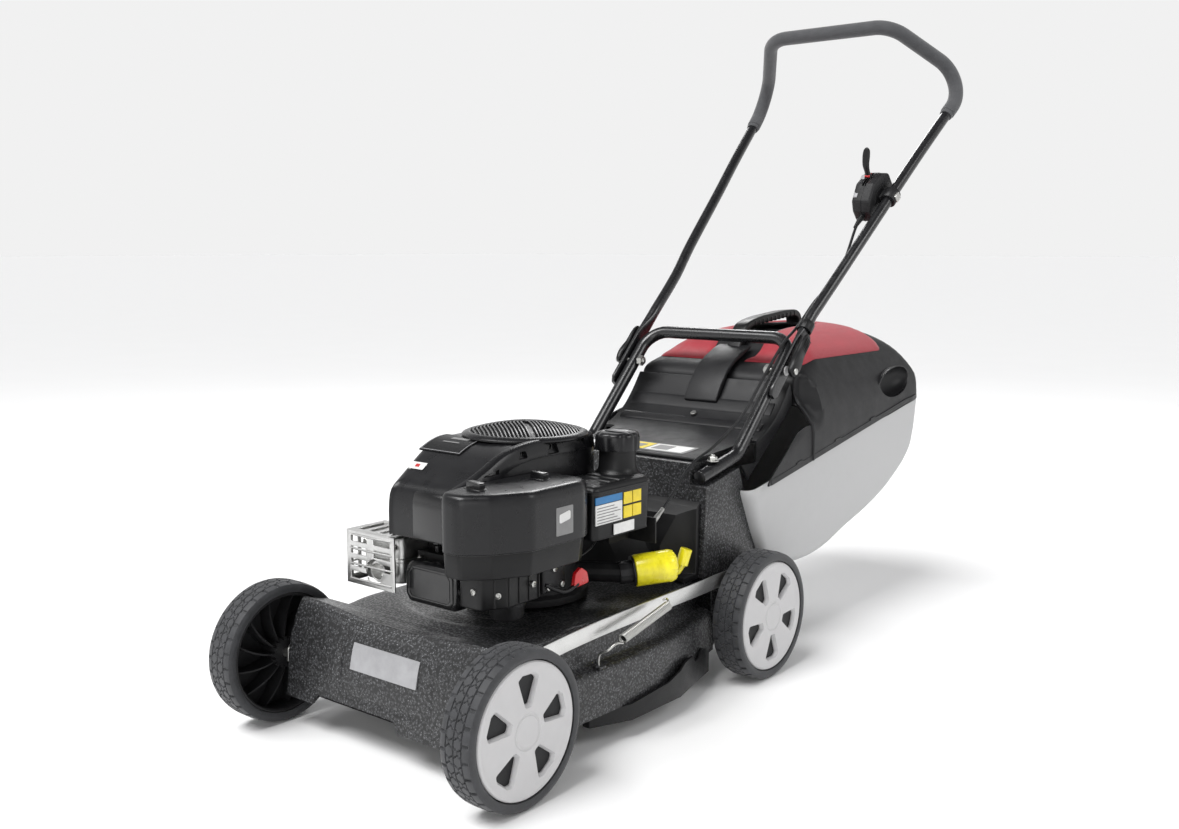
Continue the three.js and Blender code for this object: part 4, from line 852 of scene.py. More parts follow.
def upper_handle():
    foot = pivot_point(UPPER_X, -56)
    start = [foot, pivot_point(UPPER_X, 62)] + UPPER_LINE[:1]
    half = spread(start, 9) + smooth_line(UPPER_LINE, 4)[1:-1]
    bend = GRIP_ROUTE
    route = half + bend + [acrossx(p) for p in reversed(half)]
    length = [0.0]
    for a, b in zip(route, route[1:]):
        length.append(length[-1] + (b - a).length)
    total = length[-1]

    def section(share):
        run = length[round(share * (len(route) - 1))]
        run = min(run, total - run)
        t = ease((run - 108) / 60)
        end = math.sqrt(max(0.0, 1 - (1 - min(run / 12.0, 1.0)) ** 2))
        wide, thick = mix(12.4, UPPER_TUBE, t) * mix(0.45, 1.0, end), mix(FLAT_END / 2, UPPER_TUBE, t)
        power = mix(0.35, 1.0, t)
        out = []
        for k in range(28):
            a = 2 * math.pi * k / 28
            c, s = math.cos(a), math.sin(a)
            out.append((wide * math.copysign(abs(c) ** power, c),
                        thick * math.copysign(abs(s) ** power, s)))
        return out

    bar = sweep(route, section, seed=RISE)
    holes = []
    for sign in (1, -1):
        for a, b, t in ((4, 5, 0.15), (4, 5, 0.4), (4, 5, 0.66), (0, 1, 0.55)):
            spot = UPPER_LINE[a].lerp(UPPER_LINE[b], t)
            leg = UPPER_LINE[b] - UPPER_LINE[a]
            out = leg.cross(X).normalized()
            hole = rod(spot + out * 6, spot + out * 16, 2.6, 12, 0.0)
            holes.append(hole.on_side(sign))
    piece("upper_handle_tube", bar, "upper_handle", "tube_paint", ("upper_handle",), smooth=45,
          cuts=holes)


def grip():
    route = spread(GRIP_ROUTE, 14)
    sleeve = sweep(route, circle(GRIP_RADIUS, 28))
    piece("handle_grip_foam", sleeve, "upper_handle", "foam_grip", ("handle_grip",), bevel=2.2, smooth=50)
    for name, sign in SIDES:
        a, b = GRIP_ROUTE[0], GRIP_ROUTE[1]
        aim = (b - a).normalized()
        lip = turned([(UPPER_TUBE - 0.5, -7), (UPPER_TUBE + 1.6, -7), (UPPER_TUBE + 2.3, -5),
                      (UPPER_TUBE + 2.6, -0.2), (UPPER_TUBE - 0.5, -0.2), (UPPER_TUBE - 0.5, -7)], a, aim,
                     28)
        piece(f"grip_lip_{name}", lip.on_side(sign), "upper_handle", "foam_grip", smooth=40)


def cam_levers():
    inner = FLAT_X + FLAT_END + 2.6
    rows = [(-7.6, 4, 6.4, 11), (-6.6, 7, 5.6, 12.6), (-3.6, 9.6, 4.6, 14.4), (1, 11, 4.4, 15.4),
            (8, 12.2, 4.2, 16), (16, 12.6, 2.6, 16), (26, 11.6, 2.4, 15.2), (36, 10.4, 3, 13.6),
            (50, 11, 4.4, 12.4), (60, 11.2, 5, 11.6), (70, 9.4, 5.6, 10.8), (76, 6.2, 6.2, 10.2),
            (78, 2.4, 6.8, 9.6)]
    for name, sign in SIDES:
        rings = []
        for d, half, x0, x1 in rows:
            thick = (x1 - x0) / 2
            ring = []
            for k in range(20):
                a = 2 * math.pi * k / 20
                c, s = math.cos(a), math.sin(a)
                ring.append(pivot_point(inner + (x0 + x1) / 2 + thick * math.copysign(abs(s) ** 0.5, s),
                                        d, half * math.copysign(abs(c) ** 0.6, c)))
            rings.append(ring)
        body = loft(smooth_rings(rings, 3))
        piece(f"cam_lever_{name}_grip", body.on_side(sign), f"cam_lever_{name}", "black_plastic",
              (f"cam_lever_{name}",), smooth=50)
        collar = turned([(0, 0), (7.6, 0), (8, 0.4), (8, 1.1), (7.5, 1.5), (0, 1.5)],
                        pivot_point(FLAT_X + FLAT_END + 0.2), X, 32)
        piece(f"cam_washer_{name}", collar.on_side(sign), "upper_handle", "wheel_cover", smooth=30)
        cap = turned([(0, 0), (5.4, 0), (5.4, 1.4), (4, 2.6), (0, 3)], pivot_point(inner + 15.4), X, 24)
        piece(f"cam_cap_{name}", cap.on_side(sign), f"cam_lever_{name}", "steel", smooth=40)
        ribs = Shape()
        for k in range(6):
            spot = pivot_point(inner + 12.6, 46 + 4.4 * k)
            across_rib = RISE * 7.5
            ribs = ribs + sweep([spot - across_rib, spot, spot + across_rib], circle(1.0, 8))
        piece(f"cam_ribs_{name}", ribs.on_side(sign), f"cam_lever_{name}", "black_plastic", smooth=60)


def smooth_rings(rings, steps):
    """More rings between the given ones, on smooth curves."""
    lines = [smooth_line([ring[i] for ring in rings], steps) for i in range(len(rings[0]))]
    return [[line[k] for line in lines] for k in range(len(lines[0]))]


def bolts():
    for name, sign in SIDES:
        nut = turned([(0, 0), (8.6, 0), (9.6, 1), (9.6, 7.5), (8.4, 9), (4.4, 9), (4.4, 12), (3.4, 13),
                      (0, 13)], pivot_point(LEG_X - LOWER_TUBE - 1.2), -X, 6)
        shank = rod(pivot_point(LEG_X - LOWER_TUBE - 4), pivot_point(FLAT_X + FLAT_END + 1.6), 4, 24)
        piece(f"pivot_bolt_{name}_zinc", (nut + shank).on_side(sign), "chassis", "steel",
              (f"pivot_bolt_{name}",), smooth=25)
        top = rear(LEG_X, -46, 345.3)
        washer = turned([(0, 0), (9, 0), (9.5, 0.5), (9.5, 1.6), (9, 2.1), (0, 2.1)], top, Z, 32)
        head = turned([(0, 2.1), (6.6, 2.1), (7.2, 2.8), (7.2, 7), (6.2, 8.2), (0, 8.6)], top, Z, 6)
        tip = turned([(0, 8), (3.6, 8), (3.6, 10.4), (2.8, 11.2), (0, 11.2)], top, Z, 20)
        piece(f"handle_bolt_{name}_zinc", (washer + head + tip).on_side(sign), "chassis", "steel",
              (f"handle_bolt_{name}",), smooth=25)


# ---------------------------------------------------------------- throttle

POD_A, POD_B = UPPER_LINE[2], UPPER_LINE[3]
POD_BACK = (POD_B - POD_A).normalized()
POD_LEFT = (X - POD_BACK * POD_BACK.x).normalized()
POD_UP = POD_LEFT.cross(POD_BACK)
POD_CENTRE = POD_A.lerp(POD_B, 0.86)


def pod(x, y, z):
    return POD_CENTRE + POD_LEFT * x + POD_BACK * y + POD_UP * z


def in_pod(shape):
    return shape.moved(lambda p: pod(p.x, p.y, p.z))


def throttle():
    side = [(-48, -22), (30, -22), (42, -8), (42, 20), (22, 36), (-10, 38), (-40, 22), (-48, 4)]
    body = prism("x", rounded_outline(side, 9), -54, -16)
    piece("throttle_pod", in_pod(body), "upper_handle", "charcoal_plastic", ("throttle_body",), bevel=4.5,
          smooth=45, cuts=[in_pod(prism("x", [(-14, 30), (34, 22), (34, 44), (-14, 44)], -40, -32))])
    seam = prism("x", rounded_outline([(u * 1.012, v * 1.012) for u, v in side], 9), -35.6, -34.4)
    piece("throttle_seam", in_pod(seam), "upper_handle", "black_plastic", smooth=40)
    inset = [(-26, -8), (22, -10), (30, 4), (14, 20), (-14, 20), (-28, 8)]
    for name, x0, x1 in (("outer", -16.6, -15.2), ("inner", -54.8, -53.4)):
        piece(f"throttle_plate_{name}", in_pod(prism("x", rounded_outline(inset, 6), x0, x1)),
              "upper_handle", "black_plastic", bevel=0.5)
    for k, (z, y0, y1) in enumerate(((27, -34, -12), (33.2, -8, 12))):
        bar = [(y0, z - 3.4), (y1, z + 3.0), (y1, z + 7.0), (y0, z - 0.2)]
        piece(f"throttle_strip_{k}", in_pod(prism("x", bar, -52, -44)), "upper_handle", "wheel_cover",
              bevel=0.8, look=STRIP_GREY)
    screw = Shape()
    for y, z in ((-38, -12), (30, -12), (4, 26)):
        screw = screw + turned([(0, -1), (3.6, -1), (3.6, 0.6), (2.6, 1.4), (0, 1.4)], vec(-54.4, y, z),
                               -X, 20)
    piece("throttle_screws", in_pod(screw), "upper_handle", "steel", smooth=30)
    collar = turned([(UPPER_TUBE + 0.2, -12), (UPPER_TUBE + 4.4, -12), (UPPER_TUBE + 5, -11),
                     (UPPER_TUBE + 5, 11), (UPPER_TUBE + 4.4, 12), (UPPER_TUBE + 0.2, 12),
                     (UPPER_TUBE + 0.2, -12)], vec(0, 0, 0), Y, 40)
    arm = block((-UPPER_TUBE - 10, -11.5, -9.5), (-UPPER_TUBE - 1, 11.5, 9.5))
    piece("throttle_collar", in_pod(collar), "upper_handle", "charcoal_plastic", smooth=40)
    piece("throttle_arm", in_pod(arm), "upper_handle", "charcoal_plastic", bevel=2)
    clamp = block((9.2, -7, -7), (16.4, 7, 7))
    piece("throttle_clamp", in_pod(clamp), "upper_handle", "steel", bevel=1.2)
    rows = [(8, 40.6, 7.4, 4.8), (9, 48, 5.2, 3.8), (12, 62, 6.6, 3.6), (21, 74, 7.6, 3.6),
            (28, 82, 6.6, 3.4), (30.4, 86, 3.0, 2.0)]
    rings = []
    for y, z, wide, thick in rows:
        rings.append([vec(-36 + wide * math.cos(a), y + thick * math.sin(a), z)
                      for a in [2 * math.pi * k / 20 for k in range(20)]])
    piece("throttle_lever_blade", in_pod(loft(smooth_rings(rings, 4))), "throttle_lever", "black_plastic",
          ("throttle_lever",), smooth=55)
    mark = block((-41, 3.2, 41.2), (-31, 12.6, 44.6))
    piece("throttle_mark", in_pod(mark), "throttle_lever", "red_knob", bevel=0.8)


def cable():
    exit_point = pod(-36, -48.4, -6)
    points = [exit_point, exit_point + vec(-1, -22, -22)]
    points += [rear(157, 352, 652), rear(153, 302, 610), rear(149, 262, 582), rear(148, 228, 556),
               rear(148, 204, 540), rear(148, 164, 517), rear(148, 104, 466), rear(149, 44, 412),
               rear(142, 8, 384), rear(137, -30, 363), rear(137, -70, 351), rear(139, -105, 334),
               rear(146, -150, 306), vec(150, 390.4, 272)]
    line = smooth_line(points, 10)
    sheath = piece("throttle_cable_sheath", tube(line, CABLE_RADIUS, 16), "chassis", "cable",
                   ("throttle_cable",), smooth=60)
    return sheath, line


def cable_piece():
    sheath, line = cable()
    sheath.parent = None
    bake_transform(sheath)
    end, before = line[-1], line[-6]
    aim = (before - end).normalized()
    ferrule = turned([(0, 0.6), (2.9, 0.6), (4.1, 1.6), (4.1, 20), (3.4, 22), (3.4, 34), (2.7, 36),
                      (0, 36)], end, aim, 24)
    piece("cable_ferrule", ferrule, "chassis", "steel", smooth=30)
    first, second = line[0], line[5]
    boot = turned([(0, -3), (5.4, -3), (5.2, 8), (3.6, 22), (3.0, 30), (0, 30)], first, second - first,
                  24)
    piece("cable_boot", boot, "upper_handle", "black_plastic", smooth=40)


def world(p):
    return Vector((p.x, p.y + FRONT_Y, p.z)) * MM


# ---------------------------------------------------------------- deck

DECK_HALF = 205.0
TUNNEL_HALF = 165.0
PANEL_HALF = 195.0
DECK_TOP = 168.0
DECK_FRONT = 64.0
ENGINE_Y = 280.0
REAR_END = BASE - 66
DECK_PLAN = [(0.93 * DECK_HALF, DECK_FRONT), (DECK_HALF, 115), (1.01 * DECK_HALF, 250),
             (DECK_HALF, BASE - 236), (TUNNEL_HALF + 24.6, BASE - 146), (TUNNEL_HALF - 1, REAR_END)]


def plan_at(y):
    """Half width of the deck's plan at y."""
    for (x0, y0), (x1, y1) in zip(DECK_PLAN, DECK_PLAN[1:]):
        if y <= y1:
            return mix(x0, x1, (y - y0) / (y1 - y0))
    return DECK_PLAN[-1][0]


def smooth_plan(y):
    return sum(plan_at(min(max(y + d, DECK_FRONT), REAR_END)) for d in (-18, -9, 0, 9, 18)) / 5


def bowl_height(x, y):
    """Steps of the deck's top round the crank axis, sunk a little towards the middle."""
    r = math.hypot(x, y - ENGINE_Y)
    step = 3.2 * ease((r - 128) / 7) + 2.4 * ease((r - 176) / 7)
    return DECK_TOP - 6.2 + step


def deck_skin():
    """The deck's outside: skirt, shelf, sunken pocket along each side and stepped top."""
    rows = 90
    ys = [mix(DECK_FRONT, REAR_END, i / rows) for i in range(rows + 1)]
    side = [(3, 50), (2.6, 54), (0.6, 80), (-1.6, 104), (-2.4, 108.4), (-4.6, 111), (-8, 112.4),
            (-13, 113), (-20, 113.4), (-24, 114.6), (-26.4, 118), (-27.6, 124), (-28.6, 140),
            (-29.6, 156), (-30.6, 161), (-32.6, 164.6), (-36, 166.6)]
    strips = []
    for y in ys:
        half = smooth_plan(y)
        row = [vec(half + d, y, z) for d, z in side]
        inner = half - 36
        count = 34
        for k in range(1, count):
            x = mix(inner, -inner, k / count)
            edge = min(1.0, (inner - abs(x)) / 10)
            row.append(vec(x, y, mix(166.6, bowl_height(x, y), ease(edge))))
        row += [vec(-(half + d), y, z) for d, z in reversed(side)]
        strips.append(row)
    outer = sheet_grid(strips)
    lower = [[vec(p.x * 0.985, p.y, p.z - 3) if p.z > 60 else vec(p.x * 0.985, p.y, p.z) for p in row]
             for row in strips]
    under = sheet_grid([list(reversed(row)) for row in lower])
    made = outer + under
    count = len(strips[0])
    total = len(outer.points)
    faces = list(made.faces)
    for r in range(len(strips) - 1):
        for c in (0, count - 1):
            a, b = r * count + c, (r + 1) * count + c
            ua, ub = total + r * count + (count - 1 - c), total + (r + 1) * count + (count - 1 - c)
            faces.append((a, b, ub, ua))
    for r in (0, len(strips) - 1):
        for c in range(count - 1):
            a, b = r * count + c, r * count + c + 1
            ua, ub = total + r * count + (count - 1 - c), total + r * count + (count - 2 - c)
            faces.append((a, b, ub, ua))
    shaft = rod(vec(0, ENGINE_Y, 140), vec(0, ENGINE_Y, 190), 26, 40, 0.0)
    chute = block((12 - TUNNEL_HALF, REAR_END - 18, 150), (TUNNEL_HALF - 12, REAR_END + 8, 190))
    piece("deck_pressing", Shape(made.points, faces), "chassis", "deck_paint", ("deck_pan",), smooth=50,
          cuts=[shaft, chute])


def panel_profile(share, x):
    """A point of the front panel's face, from its foot (0) to its rear edge (1)."""
    edge = abs(x) / PANEL_HALF
    saddle = mix(-9.0, 0.0, ease((edge - 0.15) / 0.75))
    line = [(-14.0, 46.0), (-12.6, 54.0), (-10.6, 66.0), (-9.0, 86.0), (-7.0, 110.0), (-2.0, 134.0),
            (6.0, 156.0), (12.5, 170.0 + saddle * 0.7), (17.5, 179.0 + saddle), (22.0, 182.0 + saddle),
            (27.0, 180.5 + saddle), (38.0, 176.5 + saddle * 0.6), (52.0, 172.5 + saddle * 0.3),
            (DECK_FRONT, 170.0)]
    at = share * (len(line) - 1)
    i = min(int(at), len(line) - 2)
    (y0, z0), (y1, z1) = line[i], line[i + 1]
    return mix(y0, y1, at - i), mix(z0, z1, at - i)


def emboss(x, z):
    """Depth of the U-shaped groove pressed into the panel's face."""
    u = abs(x - 6) - 92
    v = 74 - z
    corner = 22
    if u > -corner and v > -corner:
        distance = math.hypot(u + corner, v + corner) - corner
    else:
        distance = max(u, v)
    if z > 136:
        distance = max(distance, (z - 136) * 1.0)
    groove = math.exp(-((distance) / 3.4) ** 2)
    inside = 1 - ease((distance + 6) / 6)
    fade = 1 - ease((z - 120) / 26)
    return (2.6 * groove + 0.9 * inside) * fade


def front_panel():
    columns, rows = 150, 70
    strips = []
    for r in range(rows + 1):
        share = r / rows
        row = []
        for c in range(columns + 1):
            x = mix(-PANEL_HALF, PANEL_HALF, c / columns)
            y, z = panel_profile(share, x)
            if share < 0.5:
                y += emboss(x, z)
            if z < 62 and -0.7 * PANEL_HALF < x < 0.21 * PANEL_HALF:
                t = ease((x + 0.7 * PANEL_HALF) / 10) * ease((0.21 * PANEL_HALF - x) / 10)
                z = mix(z, max(z, 60.0), t)
            row.append(vec(x, y, z))
        strips.append(row)
    outer = sheet_grid(strips)
    inner = sheet_grid([[p + vec(0, 3.0, 0 if p.z < 62 else -2.0) for p in reversed(row)]
                        for row in strips])
    made = outer + inner
    count, total = columns + 1, len(outer.points)
    faces = list(made.faces)
    for c in range(columns):
        for r in (0, rows):
            a, b = r * count + c, r * count + c + 1
            faces.append((a, b, total + r * count + count - 2 - c, total + r * count + count - 1 - c))
    for r in range(rows):
        for c in (0, columns):
            a, b = r * count + c, (r + 1) * count + c
            faces.append((a, b, total + (r + 1) * count + count - 1 - c,
                          total + r * count + count - 1 - c))
    skin = Shape(made.points, faces)
    obj = loose("front_panel_pressing", skin)
    ends = Shape()
    for sign in (1, -1):
        outline = [panel_profile(k / 40, PANEL_HALF) for k in range(41)] + [(DECK_FRONT, 46)]
        ends = ends + prism("x", outline, sign * PANEL_HALF - 3 * (sign > 0),
                            sign * PANEL_HALF + 3 * (sign < 0))
    finished(obj, "chassis", "deck_paint", ("front_panel",), 50)
    piece("front_panel_cheeks", ends, "chassis", "deck_paint", bevel=1.0,
          cuts=[rod(vec(-PANEL_HALF - 5, 42, WHEEL_RADIUS), vec(PANEL_HALF + 5, 42, WHEEL_RADIUS), 7.6,
                    32, 0.0)])
    rings = []
    for k in range(15):
        x = -62 + 130 * k / 14
        shares = (0.312, 0.34, 0.37, 0.40, 0.428)
        face = [vec(x, panel_profile(s, x)[0] - 1.0, panel_profile(s, x)[1]) for s in shares]
        rings.append(face + [vec(p.x, p.y + 2.0, p.z) for p in reversed(face)])
    piece("front_panel_badge", loft(rings), "chassis", "wheel_cover", smooth=40, look=STRIP_GREY)


def strap():
    """The flat height link, on edge, with holes for its pins."""
    front_x, rear_x = 202.4, 178.4
    run = BASE
    stations = [(-14, front_x, 0), (10, front_x, 0.12), (46, front_x, 0.45), (100, front_x - 0.8, 0.8),
                (170, front_x - 2.4, 1), (run - 296, DECK_HALF - 12, 0.9), (run - 190, rear_x + 9, 0.75),
                (run - 130, rear_x + 3, 0.6), (run - 60, rear_x, 0.35), (run + 14, rear_x, 0)]
    line = smooth_line([vec(x, 60 + along, 159.6 + 9 * bow) for along, x, bow in stations], 8)
    rings = []
    for i, p in enumerate(line):
        end = min(i, len(line) - 1 - i)
        high = 11 * (1.0 if end > 5 else math.sqrt(max(0.12, 1 - (1 - (end + 0.4) / 5.4) ** 2)))
        rings.append([p + vec(a * 1.5, 0, b * high) for a,
                      b in ((-1, -0.9), (-0.7, -1), (0.7, -1), (1, -0.9), (1, 0.9), (0.7, 1), (-0.7, 1),
                            (-1, 0.9))])
    holes = [rod(vec(x - 20, y, 159.6), vec(x + 20, y, 159.6), 4.3, 24, 0.0) for x,
             y in ((front_x, 60), (rear_x, 60 + BASE))]
    piece("height_strap", loft(rings), "height_link", "steel", ("height_link",), smooth=40, cuts=holes,
          look=LOOK["muffler_steel"])


def spring():
    """A closely wound coil spring hooked to the deck's shelf."""
    start, end = vec(223.4, 227, 153), vec(219.4, 337, 174)
    axis = (end - start).normalized()
    u, v = across(axis)
    turns, wire = 40, 1.25
    line = []
    steps = turns * 14
    for k in range(steps + 1):
        t = k / steps
        a = 2 * math.pi * turns * t
        line.append(start.lerp(end, t) + (u * math.cos(a) + v * math.sin(a)) * (7 - wire))
    coil = tube(line, wire, 7)
    hook = tube(smooth_line([line[0], vec(221.4, 216, 149), vec(215, 206.5, 141), vec(203, 204.5, 134),
                             vec(198.6, 206, 122), vec(199, 207, 115)], 8), 1.7, 12)
    eye = tube(smooth_line([line[-1], end + axis * 7 + vec(-4, 0, 2), end + axis * 12 + vec(-11, 0, 3),
                            end + axis * 8 + vec(-15, 0, 2)], 8), 1.6, 12)
    core = rod(start + axis * 2, end - axis * 2, 4.2, 20)
    piece("height_spring_coil", coil + hook + eye, "chassis", "steel", ("height_spring",), smooth=60)
    piece("height_spring_core", core, "chassis", "black_plastic", smooth=40)
    tab = block((192, 200, 112.6), (206, 214, 116.4)) + block((194, 203, 116), (198, 211, 125))
    piece("spring_anchor", tab, "chassis", "deck_paint", bevel=0.8)


def axle_ends():
    """Nuts on the link's pins and washers where each bar leaves the deck."""
    for x, y, body in ((205.6, 60, "front_axle"), (181.6, 60 + BASE, "rear_axle")):
        nut = turned([(0, 0), (5.6, 0), (6.2, 0.6), (6.2, 3.4), (5.4, 4.2), (0, 4.2)],
                     vec(x - 1.6, y, 159.6), X, 6)
        piece(f"link_nut_{body}", nut, body, "steel", smooth=25)
    for sign in (1, -1):
        for x, y, body in ((PANEL_HALF + 0.1, 42, "front_axle"),
                           (TUNNEL_HALF + 0.2, BASE + 42, "rear_axle")):
            ring = turned([(7.1, 0), (12, 0), (12.4, 0.4), (12.4, 0.8), (7.1, 0.8), (7.1, 0)],
                          vec(sign * x, y, WHEEL_RADIUS), X * sign, 32)
            piece(f"bar_washer_{body}_{sign > 0}", ring, body, "steel", smooth=30)


# ---------------------------------------------------------------- engine

SHROUD_BOTTOM = 286.0
SHROUD_TOP = 405.0
SHROUD_MIDDLE = (-6.0, 225.0)
SHROUD_PLAN = [(75, 66), (79, 120), (79, 280), (74, 345), (45, 374), (0, 386), (-50, 376), (-88, 345),
               (-104, 280), (-98, 190), (-76, 110), (-60, 66)]
FILTER_PLAN = [(82, 22), (118, 22), (150, 52), (176, 102), (176, 205), (160, 232), (82, 232)]
CAP_CENTRE = (108.0, 362.0)


def slope_z(y):
    return mix(352.0, SHROUD_TOP, ease((y - 40) / 160))


def shroud_outline():
    front = [(-60, 67), (-50, 66), (-20, 66), (8, 66), (40, 66), (66, 66)]
    line = smooth_line([vec(x, y, 0) for x, y in front + SHROUD_PLAN[:-1]], 6, closed=True)
    return [(p.x, p.y) for p in line]


def shroud_ring(inset, drop=None, height=None):
    ring = []
    for x, y in shroud_outline():
        out = vec(x - SHROUD_MIDDLE[0], y - SHROUD_MIDDLE[1], 0)
        p = out * (1 - inset / out.length) + vec(*SHROUD_MIDDLE, 0)
        ring.append(vec(p.x, p.y, height if height is not None else slope_z(p.y) - drop))
    return ring


def on_slope(x, y, lift=0.0):
    return vec(x, y, slope_z(y) + lift)


def slope_patch(x0, x1, y0, y1, lift, thick=0.8, skew=0.0):
    """A thin plate lying on the shroud's sloping top."""
    rows = []
    for k in range(13):
        y = mix(y0, y1, k / 12)
        rows.append([on_slope(mix(x0, x1, j / 6) + skew * (k / 12), y, lift) for j in range(7)])
    top = sheet_grid(rows)
    low = sheet_grid([[p - vec(0, 0, thick) for p in reversed(row)] for row in rows])
    return top + low


def shroud():
    rings = [shroud_ring(2.4, height=SHROUD_BOTTOM), shroud_ring(0.4, height=SHROUD_BOTTOM),
             shroud_ring(0, height=SHROUD_BOTTOM + 1.6)]
    edge = ((0.2, 34), (1.0, 22), (2.2, 14), (4.4, 8), (7.6, 4), (12, 1.4), (17, 0.2), (24, 0))
    rings += [shroud_ring(inset, drop=drop) for inset, drop in edge]
    for share in (0.8, 0.6, 0.4, 0.2):
        spots = [vec(*SHROUD_MIDDLE, 0).lerp(vec(p.x, p.y, 0), share) for p in rings[10]]
        rings.append([on_slope(p.x, p.y) for p in spots])
    body = loft(rings, capped=False)
    count = len(rings[0])
    hub = len(body.points)
    points = body.points + [on_slope(*SHROUD_MIDDLE)]
    last = (len(rings) - 1) * count
    faces = body.faces + [(last + i, last + (i + 1) % count, hub) for i in range(count)]
    inner = [shroud_ring(6, height=SHROUD_BOTTOM), shroud_ring(6, height=SHROUD_BOTTOM + 40)]
    start = len(points)
    points += [p for ring in inner for p in ring]
    for i in range(count):
        j = (i + 1) % count
        faces.append((i, j, start + j, start + i))
        faces.append((start + i, start + j, start + count + j, start + count + i))
    faces.append(tuple(start + count + i for i in range(count)))
    piece("shroud_shell", Shape(points, faces), "chassis", "engine_shroud", ("shroud",), smooth=32)
    face = [(64.0, 287), (64.0, 330), (64.8, 340), (67.4, 347), (72, 351.6), (80, 356.2), (94, 361.6),
            (112, 370.4), (112, 367), (84, 354), (72, 346), (68, 336), (67.4, 287)]
    piece("shroud_band", prism("x", face, -10, 71), "chassis", "engine_gloss", bevel=1.6, smooth=40)
    piece("shroud_plaque", slope_patch(-84, -2, 146, 208, 0.9, 1.4, -6), "chassis", "black_plastic",
          smooth=60)
    border = Shape()
    for x0, x1, y0, y1 in ((-82, -4, 148, 149), (-86, -9, 205, 206), (-82.5, -81.5, 149, 205),
                           (-5.5, -4.5, 149, 205)):
        border = border + slope_patch(x0, x1, y0, y1, 1.3, 0.8, 0 if y1 - y0 < 5 else -5)
    piece("shroud_plaque_border", border, "chassis", "yellow_parts", smooth=60, look=STRIP_GREY)
    blanks = slope_patch(-58, -24, 184, 192, 1.3, 0.8) + slope_patch(-62, -30, 172, 175, 1.3, 0.8)
    piece("shroud_plaque_blanks", blanks, "chassis", "wheel_cover", smooth=60, look=LABEL_GREY)
    piece("shroud_badge", slope_patch(-64, -34, 106, 120, 1.0, 1.0, -4), "chassis", "wheel_cover",
          smooth=60, look=LABEL_WHITE)
    piece("shroud_badge_spot", slope_patch(-54, -46, 110, 116, 1.4, 0.8, -2), "chassis", "red_knob",
          smooth=60, look=LABEL_RED)
    scoops()


def scoops():
    """Raised rail along the left top edge with a slit and three air scoops that grow to the rear."""
    route = smooth_line([on_slope(x, y, 1.5) for x,
                         y in ((63, 70), (67, 92), (70, 120), (71, 160), (71, 210), (71, 260), (70, 310),
                               (66, 345))], 6)
    section = [(-9, -20), (-10, -4), (-8, 1.6), (-5, 3.4), (3, 3.4), (7, 1.0), (10, -6), (11, -20)]
    rail = sweep(route, section, seed=X)
    cuts = []
    for y, wide, high in ((186, 11, 11), (248, 15, 15), (310, 18, 18)):
        z = slope_z(y) - 9
        low, top = z - high * 0.5, z + high * 0.5
        outline = rounded_outline([(y - wide * 0.95, low), (y + wide, low), (y + wide * 0.6, top),
                                   (y - wide * 0.4, top)], 2.5, 3)
        inner = [(mix(y, u, 0.8), mix(z, v, 0.8)) for u, v in outline]
        cuts.append(loft([[vec(68, u, v) for u, v in inner], [vec(90, u, v) for u, v in outline]]))
    for y in (100, 126):
        z = slope_z(y)
        cuts.append(loft([[vec(74, y - 13, z - 8), vec(92, y - 13, z - 8), vec(92, y - 13, z - 6.6),
                           vec(74, y - 13, z - 6.6)], [vec(74, y + 13, z - 6.4), vec(92, y + 13, z - 6.4),
                                                       vec(92, y + 13, z + 0.2),
                                                       vec(74, y + 13, z + 0.2)]]))
    piece("shroud_rail", rail, "chassis", "engine_shroud", bevel=0.8, segments=2, smooth=40, cuts=cuts)
    fins = Shape()
    for y, wide, high in ((186, 11, 11), (248, 15, 15), (310, 18, 18)):
        z = slope_z(y) - 9
        for k in (-0.25, 0.3):
            fins = fins + block((69, y + wide * k - 0.9, z - high * 0.42),
                                (76, y + wide * k + 0.9, z + high * 0.4))
    piece("scoop_fins", fins, "chassis", "engine_gloss", bevel=0.4, segments=2)


GRILLE_PROFILE = [(93.0, 409.0), (84.0, 412.2), (70.0, 416.4), (52.0, 420.2), (35.0, 423.0),
                  (16.0, 424.4), (0.0, 424.8)]


def dome_z(r):
    for (r0, z0), (r1, z1) in zip(GRILLE_PROFILE, GRILLE_PROFILE[1:]):
        if r >= r1:
            return mix(z0, z1, (r0 - r) / (r0 - r1))
    return GRILLE_PROFILE[-1][1]


